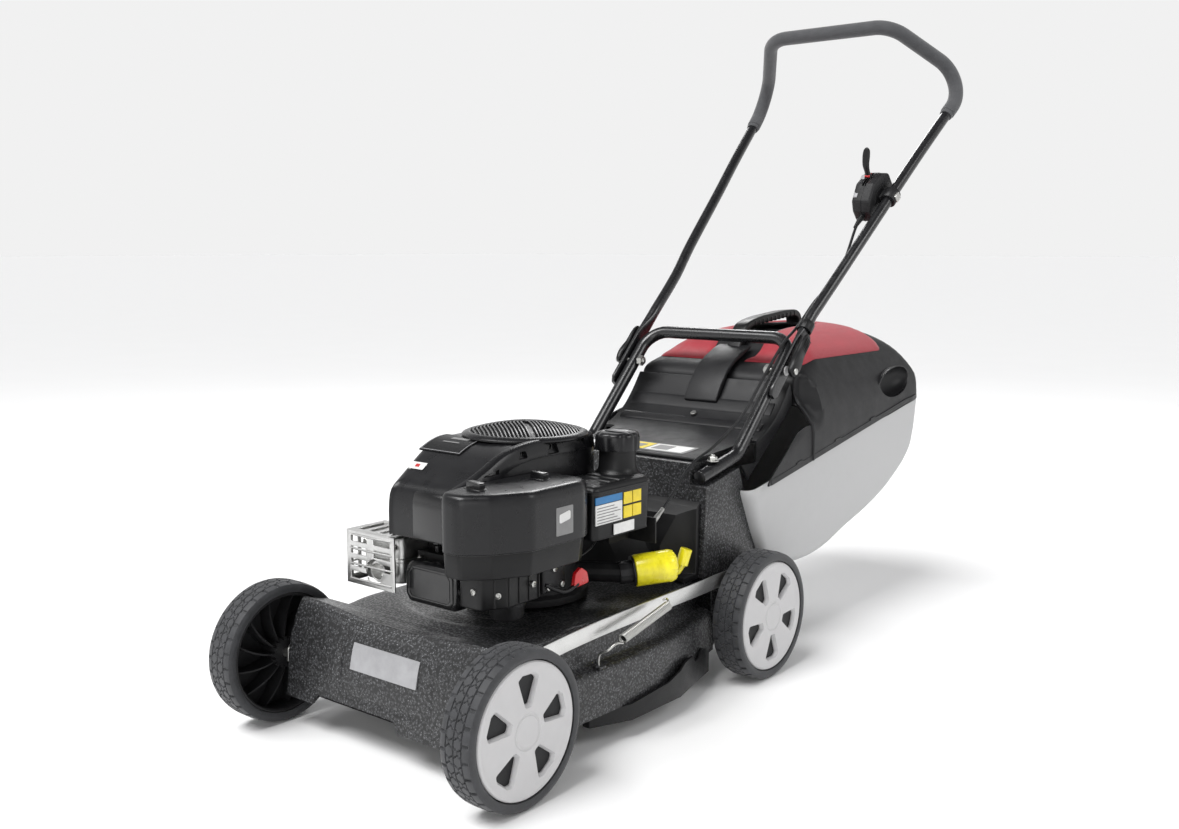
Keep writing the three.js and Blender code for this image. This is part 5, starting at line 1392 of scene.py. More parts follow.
def grille():
    centre = vec(0, ENGINE_Y, 0)
    rim = turned([(81, 405.4), (92, 405.4), (93, 406.4), (93, 408.6), (91.6, 410.2), (86, 412.4),
                  (83, 413.2), (81, 412.4), (81, 405.4)], centre, Z, 96)
    piece("grille_rim", rim, "chassis", "engine_shroud", ("starter_grille",), smooth=40)
    screen = turned([(81.4, 406), (81.4, 409.4)] + [(r, z - 3.6) for r, z in GRILLE_PROFILE[2:]], centre,
                    Z, 72)
    piece("grille_screen", screen, "chassis", "black_plastic", smooth=50)
    open_way = math.radians(-38)
    ribs = Shape()
    aim = vec(math.cos(open_way), math.sin(open_way), 0)
    side = vec(-aim.y, aim.x, 0)
    for k in range(15):
        r = 6 + 5.4 * k
        flat = []
        reach = math.sqrt(max(0.0, 82.0 ** 2 - r * r))
        straight = max(2, int(reach / 9))
        for j in range(straight):
            flat.append(side * r + aim * (reach * (1 - j / straight)))
        for j in range(25):
            a = math.pi * j / 24
            flat.append(side * (r * math.cos(a)) - aim * (r * math.sin(a)))
        for j in range(straight):
            flat.append(-side * r + aim * (reach * (j + 1) / straight))
        line = [vec(p.x, p.y + ENGINE_Y, dome_z(p.length) - 0.9) for p in flat]
        ribs = ribs + sweep(line, [(-1.25, -2.6), (1.25, -2.6), (1.25, 0.5), (0.8, 1.0), (-0.8, 1.0),
                                   (-1.25, 0.5)], seed=side)
    piece("grille_ribs", ribs, "chassis", "engine_shroud", smooth=30)


def valve_cover():
    refined("valve_cover", 5.0, 4)
    outline = rounded_outline([(-34, 197), (46, 197), (51, 203), (51, 236), (45, 244), (-32, 244),
                               (-40, 236), (-40, 203)], 5)
    inner = [(6 + (x - 6) * 0.86, 220 + (z - 220) * 0.83) for x, z in outline]
    rings = [[vec(x, 79.6, z) for x, z in outline], [vec(x, 77.6, z) for x, z in outline],
             [vec(x, 77.6, z) for x, z in inner], [vec(x, 79.6, z) for x, z in inner]]
    ring = loft(rings, closed=True)
    piece("valve_cover_frame", ring, "chassis", "engine_gloss", bevel=0.6, segments=2)
    piece("valve_cover_panel", prism("y", inner, 78.4, 80), "chassis", "engine_gloss", smooth=30)
    bolts = Shape()
    for x, z in ((-40, 246), (52, 246), (-40, 194), (52, 194)):
        bolts = bolts + turned([(0, 0), (4.6, 0), (5, 0.5), (5, 4), (4.2, 5), (0, 5)], vec(x, 108, z), -Y,
                               6)
    piece("valve_cover_bolts", bolts, "chassis", "steel", smooth=25)


def filter_ring(scale, z, round_by=26):
    ring = []
    for x, y in rounded_outline(FILTER_PLAN, round_by, 6):
        ring.append(vec(82 + (x - 82) * scale, 127 + (y - 127) * mix(1, scale, 0.9), z))
    return ring


def air_filter():
    rings = [filter_ring(0.985, 290.5), filter_ring(1.0, 291.6), filter_ring(1.0, 350),
             filter_ring(0.998, 356), filter_ring(0.988, 361), filter_ring(0.968, 364.6),
             filter_ring(0.94, 366.8), filter_ring(0.88, 367.6), filter_ring(0.6, 368.4),
             filter_ring(0.2, 368.8)]
    piece("air_filter_lid", loft(rings), "chassis", "engine_shroud", ("air_filter_cover",), smooth=38)
    for k, (x, y) in enumerate(((104, 70), (118, 178))):
        latch = prism("y", rounded_outline([(x - 12, 366), (x + 12, 364), (x + 13, 377), (x - 11, 379)],
                                           3), y - 5.5, y + 5.5)
        foot = block((x - 15, y - 8, 365), (x + 15, y + 8, 369))
        piece(f"filter_latch_{k}", latch + foot, "chassis", "engine_gloss", bevel=1.0, smooth=40)
    plate = prism("x", rounded_outline([(146, 302), (180, 302), (180, 340), (146, 340)], 2), 175.6, 176.5)
    piece("filter_plate", plate, "chassis", "engine_shroud", smooth=30, look=LABEL_GREY)
    mark = prism("x", rounded_outline([(152, 318), (174, 322), (174, 334), (152, 330)], 3), 176.2, 176.9)
    piece("filter_plate_mark", mark, "chassis", "engine_shroud", smooth=30, look=LABEL_WHITE)
    seam = [filter_ring(0.97, 289.6), filter_ring(0.97, 291)]
    piece("filter_seam", loft(seam), "chassis", "engine_gloss", smooth=38)
    tray = [filter_ring(0.9, 256.4, 14), filter_ring(0.93, 258, 14), filter_ring(0.955, 288, 14),
            filter_ring(0.95, 289.6, 14)]
    throat = prism("z", rounded_outline([(88, 50), (130, 50), (147, 84), (147, 152), (88, 152)], 12),
                   213.6, 260)
    piece("air_filter_tray", loft(tray), "chassis", "black_plastic", ("air_filter_base",), smooth=38)
    piece("air_filter_throat", throat, "chassis", "black_plastic", bevel=3)
    bowl = turned([(0, 187.8), (15, 188.2), (20, 190), (23, 195), (23.6, 206), (25, 208), (25, 214),
                   (0, 214)], vec(118, 112, 0), Z, 48)
    piece("carburettor_bowl", bowl, "chassis", "engine_casting", smooth=35)
    body = block((98, 160, 214), (140, 207, 258))
    piece("carburettor_body", body, "chassis", "engine_casting", bevel=4)
    ribs = Shape()
    for k in range(5):
        y = 66 + 19 * k
        x = min(146.5, 130.5 + (y - 50) * 0.5)
        ribs = ribs + block((x - 3, y, 216), (x + 2.0, y + 2.4, 257))
    piece("throat_ribs", ribs, "chassis", "black_plastic", bevel=0.8, segments=2)
    screws = Shape()
    for p, aim in ((vec(151, 128, 238), X), (vec(140, 72, 232), vec(0.9, -0.4, 0)),
                   (vec(118, 50, 238), -Y), (vec(118, 112, 188), -Z), (vec(141, 182, 246), X),
                   (vec(141, 170, 222), X), (vec(141, 198, 222), X)):
        screws = screws + turned([(0, -3), (4.4, -3), (4.8, -1), (4.2, 1.8), (2.2, 2.6), (2.2, 1.2),
                                  (0, 1.2)], p, aim, 20)
    piece("carburettor_screws", screws, "chassis", "steel", smooth=35)
    rods = tube(smooth_line([vec(142, 190, 250), vec(150, 215, 254), vec(148, 250, 262),
                             vec(120, 300, 262)], 6), 1.2, 8)
    rods = rods + tube(smooth_line([vec(140, 165, 226), vec(152, 190, 214), vec(154, 216, 220)], 6), 3.0,
                       12)
    rods = rods + tube(smooth_line([vec(96, 60, 222), vec(70, 92, 204), vec(52, 132, 196)], 6), 3.4, 12)
    piece("fuel_hoses", rods, "chassis", "cable", smooth=60)


def tank():
    plan = [(86, 240), (160, 240), (164, 250), (164, 366), (150, 380), (92, 380), (84, 350)]

    def ring(scale, z, low=0.0):
        out = []
        for x, y in rounded_outline(plan, 12, 5):
            out.append(vec(124 + (x - 124) * scale - low * (x > 150), 310 + (y - 310) * scale, z))
        return out

    rings = [ring(0.9, 274.2), ring(0.955, 275.4), ring(0.97, 279, 2), ring(0.985, 336, 0),
             ring(0.985, 339.4), ring(1.015, 340), ring(1.015, 343.4), ring(0.98, 344),
             ring(0.965, 346.4), ring(0.93, 349), ring(0.86, 350.6), ring(0.5, 351.4)]
    piece("fuel_tank_shell", loft(rings), "chassis", "black_plastic", ("fuel_tank",), smooth=38)
    cx, cy = CAP_CENTRE
    neck = turned([(0, 348), (36, 348), (33, 351), (29.4, 355), (27.6, 360), (27.2, 374), (27.2, 384),
                   (0, 384)], vec(cx, cy, 0), Z, 64)
    piece("fuel_neck", neck, "chassis", "black_plastic", smooth=38)
    ridge = Shape()
    for y in (262, 284, 306):
        ridge = ridge + prism("x", [(y, 349), (y + 3, 353.4), (y + 15, 353.4), (y + 18, 349)], 92, 154)
    piece("tank_ribs", ridge, "chassis", "black_plastic", bevel=1.4)
    for name, y0, y1, z0, z1, look in (("white", 243, 302, 297, 325, LABEL_WHITE),
                                       ("blue", 243, 302, 326, 336, LABEL_BLUE),
                                       ("note", 284, 330, 278, 293, LABEL_WHITE)):
        plate = prism("x", [(y0, z0), (y1, z0), (y1, z1), (y0, z1)], 162.4, 163.9)
        piece(f"tank_label_{name}", plate, "chassis", "wheel_cover", smooth=30, look=look)
    yellow = Shape()
    for y in (306, 327):
        for z in (298, 318):
            yellow = yellow + prism("x", [(y, z), (y + 19, z), (y + 19, z + 17), (y, z + 17)], 162.6,
                                    164.0)
    piece("tank_label_yellow", yellow, "chassis", "yellow_parts", smooth=30, look=LABEL_YELLOW)
    lines = Shape()
    for k in range(6):
        lines = lines + prism("x", [(246, 299 + 4.2 * k), (298 - 7 * (k % 3), 299 + 4.2 * k),
                                    (298 - 7 * (k % 3), 300.4 + 4.2 * k), (246, 300.4 + 4.2 * k)], 163.6,
                              164.1)
    piece("tank_label_rules", lines, "chassis", "wheel_cover", smooth=30, look=LABEL_GREY)


def cap():
    cx, cy = CAP_CENTRE

    def ring(radius, z, lobe):
        out = []
        for k in range(144):
            a = 2 * math.pi * k / 144
            r = radius - lobe * (0.5 + 0.5 * math.cos(9 * a)) ** 3
            out.append(vec(cx + r * math.cos(a), cy + r * math.sin(a), z))
        return out

    rings = [ring(30, 384.6, 0), ring(32.4, 385, 0.5), ring(33, 387, 1.8), ring(33, 403, 2.2),
             ring(32.2, 407, 2.2), ring(30, 409.6, 1.6), ring(26, 410.8, 0.4), ring(24, 409.8, 0),
             ring(8, 409.4, 0)]
    bar = prism("z", rounded_outline([(cx - 22, cy - 5), (cx + 22, cy - 5), (cx + 22, cy + 5),
                                      (cx - 22, cy + 5)], 4), 409, 411.2)
    piece("fuel_cap_fluted", loft(rings), "fuel_cap", "engine_shroud", ("fuel_cap",), smooth=38)
    piece("fuel_cap_bar", bar, "fuel_cap", "engine_shroud", bevel=0.8)


def exhaust():
    can = [(-130, 84), (-66, 84), (-58, 92), (-58, 150), (-138, 150), (-138, 92)]
    rings = []
    for scale, z in ((0.86, 208), (0.95, 209), (1.0, 213), (1.0, 239), (1.03, 240.4), (1.03, 243.6),
                     (1.0, 245), (1.0, 271), (0.95, 275), (0.86, 276)):
        rings.append([vec(-98 + (x + 98) * scale, 117 + (y - 117) * scale, z) for x,
                      y in rounded_outline(can, 12, 5)])
    piece("muffler_can", loft(rings), "chassis", "muffler_steel", ("muffler",), smooth=38)
    pipe = turned([(11.6, 0), (14.4, 0), (15.2, 1.0), (15.2, 4), (14.2, 5), (14.2, 20), (17, 22), (0, 22),
                   (0, 14), (11.6, 14), (11.6, 0)], vec(-86, 66, 228), Y, 48)
    piece("muffler_pipe", pipe, "chassis", "muffler_steel", smooth=35)
    bolts = Shape()
    for x, z in ((-128, 262), (-68, 262), (-128, 222)):
        bolts = bolts + turned([(0, 0), (4.4, 0), (4.8, 0.6), (4.8, 3.6), (4, 4.4), (0, 4.4)],
                               vec(x, 84, z), -Y, 6)
    piece("muffler_bolts", bolts, "chassis", "steel", smooth=25)
    refined("muffler_guard", 1.1, 3)
    wires = Shape()
    for z in (212, 234, 256, 276):
        wires = wires + tube(smooth_line([vec(-141, 66 + 60, z), vec(-143, 74, z), vec(-138, 61.5, z),
                                          vec(-96, 59.6, z), vec(-50, 60.6, z)], 6), 1.7, 10)
    piece("guard_wires", wires, "chassis", "muffler_steel", smooth=60)


def oil_parts():
    base = vec(150, 347, 211)
    aim = vec(0.62, 0.75, 0.1).normalized()
    can = turned([(0, 0), (19, 0), (22.6, 1), (23.5, 3), (23.5, 52), (23.0, 55), (21.8, 58.6),
                  (19.4, 61.6), (16, 64), (10, 65.4), (0, 65.8)], base, aim, 72)
    piece("oil_filter_can", can, "chassis", "yellow_parts", ("oil_filter",), smooth=38)
    u, v = across(aim)
    flutes = Shape()
    for k in range(15):
        a = 2 * math.pi * k / 15
        out = u * math.cos(a) + v * math.sin(a)
        start, end = base + aim * 50.5 + out * 22.8, base + aim * 61 + out * 19.6
        flutes = flutes + tube([start, start.lerp(end, 0.5) + out * 0.7, end], 1.5, 8)
    piece("oil_filter_flutes", flutes, "chassis", "yellow_parts", smooth=60)
    gasket = turned([(0, -3), (22, -3), (22.4, -2), (22.4, -0.4), (0, -0.4)], base, aim, 48)
    piece("oil_filter_gasket", gasket, "chassis", "black_plastic", smooth=38)
    refined("dipstick", 1.6, 3)
    refined("spark_plug", 1.0, 3)
    wire = smooth_line([vec(-18, 119, 290), vec(-18, 112, 301), vec(-10, 122, 310), vec(20, 150, 314),
                        vec(40, 190, 312)], 8)
    piece("plug_lead", tube(wire, 3.2, 12), "chassis", "cable", smooth=60)
    knob = prism("x", rounded_outline([(206, 216), (238, 218), (234, 234), (222, 242), (210, 236)], 4),
                 150, 156)
    stem = rod(vec(146, 222, 226), vec(151, 222, 226), 6.5, 24)
    piece("fuel_tap_knob", knob + stem, "fuel_tap", "red_knob", ("fuel_tap",), bevel=1.4)


def starter():
    spot = vec(-114, 352, 342)
    aim = vec(0.55, 0.83, 0).normalized()
    profile = [(0, -33), (6, -32.4), (8.6, -30), (9.4, -25), (8.6, -16), (8.0, -8), (8.4, 0), (8.0, 8),
               (8.6, 16), (9.4, 25), (8.6, 30), (6, 32.4), (0, 33)]
    piece("starter_grip", turned(profile, spot, aim, 40), "starter_handle", "black_plastic",
          ("starter_handle",), smooth=50)
    stem = turned([(0, -22), (4.4, -22), (6.2, -16), (7.4, -8), (7.4, 0), (0, 0)], spot, Z, 28)
    piece("starter_stem", stem, "starter_handle", "black_plastic", smooth=50)
    seat = turned([(7.6, -24), (12, -24), (12.6, -22), (11, -14), (8.4, -13), (7.6, -24)], spot, Z, 36)
    bracket = prism("z", rounded_outline([(-122, 340), (-98, 326), (-78, 352), (-100, 366), (-122, 366)],
                                         6), 312, 319)
    piece("starter_seat", seat, "chassis", "steel", smooth=40)
    piece("starter_bracket", bracket, "chassis", "engine_shroud", bevel=2.0)


# ---------------------------------------------------------------- flap and catcher

CATCHER_HALF = 198.0
FLAP_HALF = 159.0
ARCH = [(198, 270), (198, 340), (196.6, 392), (193, 416), (184, 438), (168, 463), (148, 487), (122, 508),
        (90, 526), (50, 541), (0, 552)]
LID_LINE = [(45, 303), (110, 354), (181, 412), (182.5, 436), (185, 454), (200, 468.5), (226, 480.5),
            (252, 493), (268, 508), (290, 520), (335, 531), (400, 535.6), (465, 535.6), (510, 530.5),
            (548, 518.5), (574, 500), (592, 474), (601, 444), (604, 418), (604, 400)]


def rim_z(y):
    return 291 + (y - 10) * 0.1768 if y < 536 else 384 + (y - 536) * 0.15


def soft_min(a, b, room=26.0):
    h = max(room - abs(a - b), 0) / room
    return min(a, b) - h * h * room / 4


def lookup(table, key):
    for (k0, v0), (k1, v1) in zip(table, table[1:]):
        if k0 <= key <= k1:
            return mix(v0, v1, (key - k0) / (k1 - k0))
    return table[0][1] if key < table[0][0] else table[-1][1]


ARCH_CURVE = [(p.x, p.z) for p in smooth_line([vec(x, 0, z) for x, z in ARCH], 4)]
ARCH_BY_X = sorted({round(x, 3): z for x, z in ARCH_CURVE}.items())
LID_CURVE = [(p.y, p.z) for p in smooth_line([vec(0, y, z) for y, z in LID_LINE], 3)]
LID_BY_Y = sorted({round(y, 2): z for y, z in LID_CURVE if y > 181}.items())


def lid_height(x, y):
    return soft_min(lookup(ARCH_BY_X, abs(x)), lookup(LID_BY_Y, y))


def lid_skin():
    """The lid's outer surface, open below and at the front."""
    rows, tops = [], []
    for y, top in LID_CURVE:
        low = rim_z(y)
        widest = 168 + math.sqrt(max(0.0, 30 ** 2 - (y - 574) ** 2)) if y > 574 else CATCHER_HALF
        if y < 222:
            shoulder = mix(159.0, CATCHER_HALF, ease((y - 198) / 24))
        else:
            shoulder = CATCHER_HALF
        half = []
        for x, z in ARCH_CURVE:
            height = max(soft_min(z, top, 26.0 if top > 440 else 8.0), low + 0.5)
            half.append((min(x, widest, mix(CATCHER_HALF, shoulder, ease((z - 372) / 64))), height))
        half[0] = (half[0][0], low)
        both = half + [(-x, z) for x, z in reversed(half[:-1])]
        rows.append([rear(x, y, z) for x, z in both])
        tops.append(top)
    skin = sheet_grid(rows)
    count = len(rows[0])
    faces = []
    for face in skin.faces:
        in_front = max(tops[i // count] for i in face) <= 413
        if not (in_front and min(abs(skin.points[i].x) for i in face) < 190):
            faces.append(face)
    return Shape(skin.points, faces)


def lid():
    shell = loose("catcher_lid", lid_skin())
    wall = shell.modifiers.new("wall", "SOLIDIFY")
    wall.thickness = 3 * MM
    wall.offset = -1.0
    settle(shell)
    tray = rounded_outline([(-44, 272), (44, 272), (44, 428), (-44, 428)], 14, 5)
    recess = loft([[rear(x * 0.96, 350 + (y - 350) * 0.97, 498) for x, y in tray],
                   [rear(x, y, 505) for x, y in tray], [rear(x, y, 580) for x, y in tray]])
    cuts = [recess]
    for sign in (1, -1):
        pocket = turned([(0, -1)] + [(math.sin(a), -math.cos(a))
                                     for a in (math.pi * k / 20 for k in range(1, 20))] + [(0, 1)],
                        vec(0, 0, 0), X, 40)
        cuts.append(pocket.moved(lambda p, s=sign: rear(s * 190 + p.x * 26, 500 + p.y * 58,
                                                        428 + p.z * 27 + p.y * 6)))
    for i, cut in enumerate(cuts):
        join_with(shell, loose(f"lid_cut_{i}", cut))
    finished(shell, "catcher", "charcoal_plastic", ("catcher_top",), 40)
    for sign in (1, -1):
        bowl = turned([(0.999, 0)] + [(math.sin(a), -math.cos(a))
                                      for a in (math.pi * k / 20 for k in range(10, 0, -1))] + [(0, -1)]
                      + [(0, -1.07)] + [(1.05 * math.sin(a), -1.07 * math.cos(a))
                                        for a in (math.pi * k / 20 for k in range(1, 11))] + [(0.999, 0)],
                      vec(0, 0, 0), X, 40)
        placed = bowl.moved(lambda p, s=sign: rear(s * (189.5 + p.x * 26), 500 + p.y * 58,
                                                   428 + p.z * 27 + p.y * 6))
        if sign < 0:
            placed = Shape(placed.points, [tuple(reversed(face)) for face in placed.faces])
        piece(f"lid_pocket_{sign > 0}", placed, "catcher", "charcoal_plastic", smooth=50)
    floor = loft([[rear(x * 0.99, 350 + (y - 350) * 0.99, z) for x, y in tray] for z in (493, 497.6)])
    walls = loft([[rear(x * k, 350 + (y - 350) * k, z) for x, y in tray] for k, z in
                  ((1.07, 494), (1.07, 521), (1.0, 521), (1.0, 494))], closed=True)
    piece("lid_tray", floor + walls, "catcher", "charcoal_plastic", smooth=40)
    # painted shade: dark discs laid on the tray's solid floor stand for the shade seen down its holes
    holes = Shape()
    for row in range(5):
        for column in range(9):
            spot = rear(-28 + 14 * row, 292 + 14.5 * column, 497.8)
            holes = holes + turned([(0, 0), (3.4, 0), (3.4, 0.5), (0, 0.5)], spot, Z, 12)
    piece("lid_tray_hole_shade_discs", holes, "catcher", "cable", smooth=30)
    rim_band()
    carrying_handle()


def rim_band():
    route = [rear(CATCHER_HALF - 1.4, y, rim_z(y) + 4) for y in (52, 120, 200, 300, 400, 480, 536)]
    corner = [rear(CATCHER_HALF - 1.4, 566, 391), rear(CATCHER_HALF - 7, 592, 396),
              rear(CATCHER_HALF - 24, 604.5, 398), rear(CATCHER_HALF - 50, 605, 398), rear(60, 605, 398)]
    half = route + corner
    line = smooth_line(half + [vec(-p.x, p.y, p.z) for p in reversed(half)], 6)
    section = [(-4.6, -2.0), (-4.6, 2.0), (-3.6, 3.0), (3.6, 3.0), (4.6, 2.0), (4.6, -2.0)]
    piece("lid_rim", sweep(line, section, seed=Z), "catcher", "charcoal_plastic", smooth=30)
    # painted shade: thin dark plates on the rim's sides stand for the shade inside its slots, which are
    # not cut
    slots = Shape()
    for sign in (1, -1):
        for y in (140, 270, 400):
            z = rim_z(y) + 11
            patch = [(y - 9, z - 4.6), (y + 9, z - 1.4), (y + 9, z + 2.6), (y - 9, z - 0.6)]
            slots = slots + prism("x", [(u + BASE, v) for u, v in patch], sign * 198.6 - 2,
                                  sign * 198.6 + 0.2 * sign + 0.2)
    piece("lid_rim_slot_shade_plates", slots, "catcher", "cable", smooth=30)


def carrying_handle():
    spine = [rear(0, 244, 497), rear(0, 256, 518), rear(0, 272, 536), rear(0, 310, 545),
             rear(0, 350, 549), rear(0, 400, 553), rear(0, 436, 553), rear(0, 450, 545),
             rear(0, 454, 532)]
    line = smooth_line(spine, 7)
    outline = rounded_outline([(-7, -15), (7, -15), (5, 15), (-5, 15)], 4, 4)
    handle = sweep(line, outline, seed=Z)
    piece("carrying_handle", handle, "catcher", "black_plastic", smooth=40)
    ribs = Shape()
    for k in range(11):
        y = 288 + 14 * k
        z = mix(540, 553, (y - 288) / 140)
        ribs = ribs + block((-16.4, BASE + y, z - 4), (16.4, BASE + y + 5, z + 5.4))
    piece("carrying_handle_ribs", ribs, "catcher", "black_plastic", bevel=1.4, segments=2)


def vents():
    made = Shape()
    for sign in (1, -1):
        rows, under = [], []
        for j in range(57):
            v = j / 56
            y = mix(218, 526, v)
            round_off = math.sqrt(max(0.0, 1 - max(0.0, abs(v - 0.5) * 2 - 0.9) ** 2 / 0.0105))
            wide = mix(0.86, 1.0, round_off)
            near = 49 if 234 < y < 462 else mix(49, 20, min(1.0, max(234 - y, y - 462) / 22))
            near = max(near, 38.5 if y < 256 else 0)
            row, low = [], []
            for i in range(25):
                x = mix(near, mix(near, 151, wide), i / 24)
                edge = min(i, 24 - i, j, 56 - j)
                swell = (0.0, 1.7, 2.6)[min(edge, 2)] if edge < 2 else 2.6
                fold = 0.9 * math.exp(-((x - 112 + (y - 218) * 0.05) / 2.2) ** 2)
                z = lid_height(x, y)
                row.append(rear(sign * x, y, z + 0.9 + swell - fold))
                low.append(rear(sign * x, y, z + 0.3))
            rows.append(row if sign > 0 else row[::-1])
            under.append((low if sign > 0 else low[::-1])[::-1])
        made = made + closed_slab(rows, under)
    piece("vent_panels", made, "catcher", "red_panel", ("catcher_vent",), smooth=60)


def closed_slab(rows, under):
    """Two skins over the same grid, with walls between them; under's rows run the other way."""
    top, low = sheet_grid(rows), sheet_grid(under)
    shift = len(top.points)
    count = len(rows[0])
    faces = top.faces + [tuple(i + shift for i in face) for face in low.faces]
    last = len(rows) - 1

    def walled(a, b):
        (r0, c0), (r1, c1) = a, b
        faces.append((r0 * count + c0, shift + r0 * count + count - 1 - c0,
                      shift + r1 * count + count - 1 - c1, r1 * count + c1))

    for c in range(count - 1):
        walled((0, c), (0, c + 1))
        walled((last, c), (last, c + 1))
    for r in range(last):
        walled((r, 0), (r + 1, 0))
        walled((r, count - 1), (r + 1, count - 1))
    return Shape(top.points + low.points, faces)


BIN_LINE = [(604, 352), (603, 330), (596, 296), (575, 269), (545, 247), (498, 220), (430, 194),
            (350, 171.6), (290, 152), (230, 142), (160, 143), (110, 151), (80, 167), (62, 186), (40, 226),
            (12, 286)]


BIN_WALL = 3.0
BIN_OPEN_TOP = 30.0  # how far the inner cut rises past the rim, so that the bin is open there
BIN_ROUND = 16.0  # radius between the bin's belly and its side walls
# The bin's side walls come in by BIN_LEAN over a drop of BIN_LEAN_OVER, starting from BIN_LEAN_TOP.
BIN_LEAN, BIN_LEAN_OVER, BIN_LEAN_TOP = 21, 280, 400


def bin_rings(inset, high):
    """The bin's side outline, shrunk, as rings from its left wall to its right."""
    curve = [(p.y, p.z) for p in smooth_line([vec(0, y, z) for y, z in BIN_LINE], 4)]
    stations = []
    for k in range(7):
        a = math.pi / 2 * k / 6
        stations.append((BIN_ROUND * (1 - math.sin(a)), BIN_ROUND * (1 - math.cos(a))))
    rings = []

    def ring(shrink, side_in, sign):
        pts = []
        for i, (y, z) in enumerate(curve):
            y0, z0 = curve[max(i - 1, 0)]
            y1, z1 = curve[min(i + 1, len(curve) - 1)]
            t = vec(0, y1 - y0, z1 - z0).normalized()
            py, pz = y - t.z * (shrink + inset) * -1, z - t.y * (shrink + inset)
            pts.append((py, min(pz, rim_z(py) + high)))
        first, last = pts[0], pts[-1]
        pts = [(first[0], rim_z(first[0]) + high)] + pts + [(last[0], rim_z(last[0]) + high)]
        out = []
        for y, z in pts:
            wide = CATCHER_HALF - 4 - inset - (BIN_LEAN_TOP - z) * BIN_LEAN / BIN_LEAN_OVER - side_in
            out.append(rear(sign * wide, y, z))
        return out

    for shrink, side_in in stations:
        rings.append(ring(shrink, side_in, -1))
    for shrink, side_in in reversed(stations):
        rings.append(ring(shrink, side_in, 1))
    return rings


def catcher_bin():
    outer = loft(bin_rings(0.0, 0.0))
    inner = loft(bin_rings(BIN_WALL, BIN_OPEN_TOP))
    mouth = prism("x", [(y + BASE, z) for y, z in ((-30, 300), (4, 300), (110, 322), (110, 200),
                                                   (70, 190), (20, 200), (-30, 240))], -160, 160)
    piece("catcher_tub", outer, "catcher", "bin_plastic", ("catcher_bin",), smooth=40,
          cuts=[inner, mouth])


FLAP_TOP = [(-68, 350.8), (-30, 353), (20, 356.4), (54, 361), (90, 373), (124, 394), (152, 424),
            (172, 452)]


def flap_z(y):
    return lookup(FLAP_TOP, y)


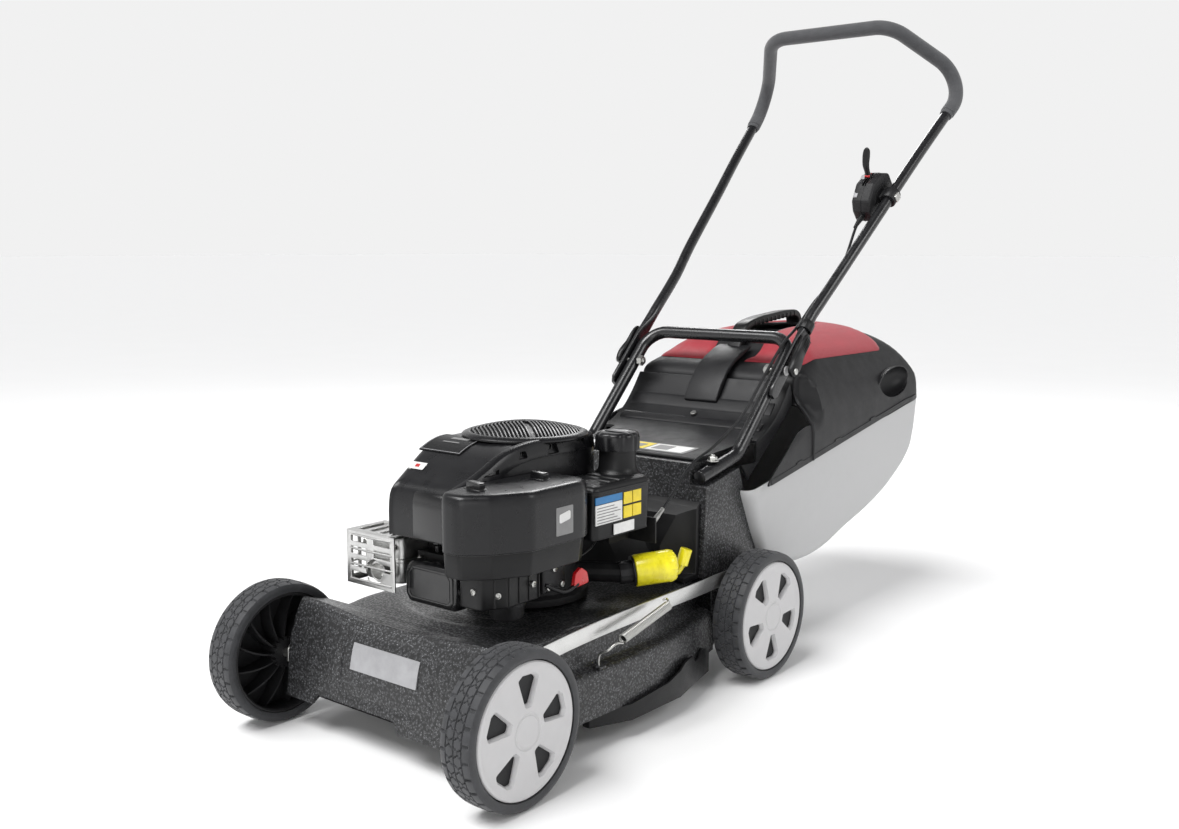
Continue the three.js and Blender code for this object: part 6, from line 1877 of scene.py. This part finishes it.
def flap():
    top = [(p.y, p.z) for p in smooth_line([vec(0, y, z) for y, z in FLAP_TOP], 5)]
    under = [(3, 346.5), (20, 339), (44, 303), (100, 347), (150, 388), (181, 413.5)]
    outline = [(-68, 345.6)] + under + [(179, 432)] + list(reversed(top))
    inner_top = [(y + 2, z - 4) for y, z in top if y > 12]
    inner = [(5, 300), (5, 350)] + inner_top + [(190, 446), (200, 400), (64, 270)]
    feet = block((LEG_X - LOWER_TUBE - 5, BASE - 100, 330), (TUNNEL_HALF + 5, BASE + 68, 380))
    shifted = [(y + BASE, z) for y, z in outline]
    piece("flap_shell", prism("x", shifted, -FLAP_HALF, FLAP_HALF), "rear_flap", "charcoal_plastic",
          ("rear_flap",), bevel=9.0, segments=5, smooth=40,
          cuts=[prism("x", [(y + BASE, z) for y, z in inner], -FLAP_HALF + 4, FLAP_HALF - 4), feet,
                feet.mirrored()])
    tab = [(138, 410), (152, 428), (172, 457), (198, 476), (246, 498), (247, 504), (226, 497.5),
           (198, 484.5), (172, 468), (150, 441), (134, 414)]
    piece("flap_tab", prism("x", [(y + BASE, z) for y, z in tab], -34, 34), "rear_flap",
          "charcoal_plastic", bevel=2.4, smooth=40)
    steps = Shape()
    for y0, y1, rise in ((96, 112, 1.4), (128, 146, 1.6)):
        rows, under_rows = [], []
        for k in range(9):
            y = mix(y0, y1, k / 8)
            swell = rise * math.sin(math.pi * k / 8) ** 0.5 if 0 < k < 8 else 0.0
            row = [rear(mix(-146, 146, i / 20), y, flap_z(y) + swell + 0.1) for i in range(21)]
            rows.append(row)
            under_rows.append([vec(p.x, p.y, p.z - swell - 1.2) for p in reversed(row)])
        steps = steps + closed_slab(rows, under_rows)
    piece("flap_steps", steps, "rear_flap", "charcoal_plastic", smooth=60)
    strips = (("plate", -104, 96, -52, -4, 0.7, LABEL_GREY),
              ("white", -98, -66, -48, -8, 1.1, LABEL_WHITE), ("red", -63, -30, -48, -8, 1.1, LABEL_RED),
              ("red_text", -60, -34, -44, -32, 1.4, LABEL_WHITE),
              ("yellow", -27, 14, -48, -8, 1.1, LABEL_YELLOW),
              ("white_b", 18, 90, -48, -8, 1.1, LABEL_WHITE),
              ("grey_b", 26, 58, -42, -14, 1.4, LABEL_GREY), ("ring", -16, 4, -38, -18, 1.4, LABEL_GREY))
    for name, x0, x1, y0, y1, lift, look in strips:
        rows = [[rear(mix(x0, x1, i / 4), mix(y0, y1, k / 4), flap_z(mix(y0, y1, k / 4)) + lift)
                 for i in range(5)] for k in range(5)]
        low = [[p - vec(0, 0, 1.6) for p in reversed(row)] for row in rows]
        piece(f"flap_label_{name}", closed_slab(rows, low), "rear_flap", "charcoal_plastic", smooth=40,
              look=look)
    bolt = turned([(0, 0), (5, 0), (5.4, 0.6), (5.4, 3.2), (4.6, 4), (0, 4)],
                  rear(0, 118, flap_z(118) + 0.6), vec(0, -0.5, 0.86), 20)
    piece("flap_bolt", bolt, "rear_flap", "steel", smooth=30)


# ---------------------------------------------------------------- the frame's own solids, rounded

# How far each remaining solid's edges are rounded, in millimetres.
ROUNDED = {"front_axle": 0.8, "rear_axle": 0.8, "rear_tunnel": 4.0, "side_skirt_left": 1.2,
           "side_skirt_right": 1.2, "tunnel_cowl": 4.0, "engine_block": 1.0, "crankshaft": 0.8,
           "flywheel": 1.0, "blade_disc": 0.6, "blade_a": 0.4, "blade_b": 0.4, "cable_clip": 0.8, }


def frame_shells():
    for node, bevel in ROUNDED.items():
        refined(node, bevel)


camera()
studio()
wheels()
lower_handle()
upper_handle()
grip()
cam_levers()
bolts()
throttle()
cable_piece()
deck_skin()
front_panel()
strap()
spring()
axle_ends()
shroud()
grille()
valve_cover()
air_filter()
tank()
cap()
exhaust()
oil_parts()
starter()
flap()
lid()
vents()
catcher_bin()
frame_shells()
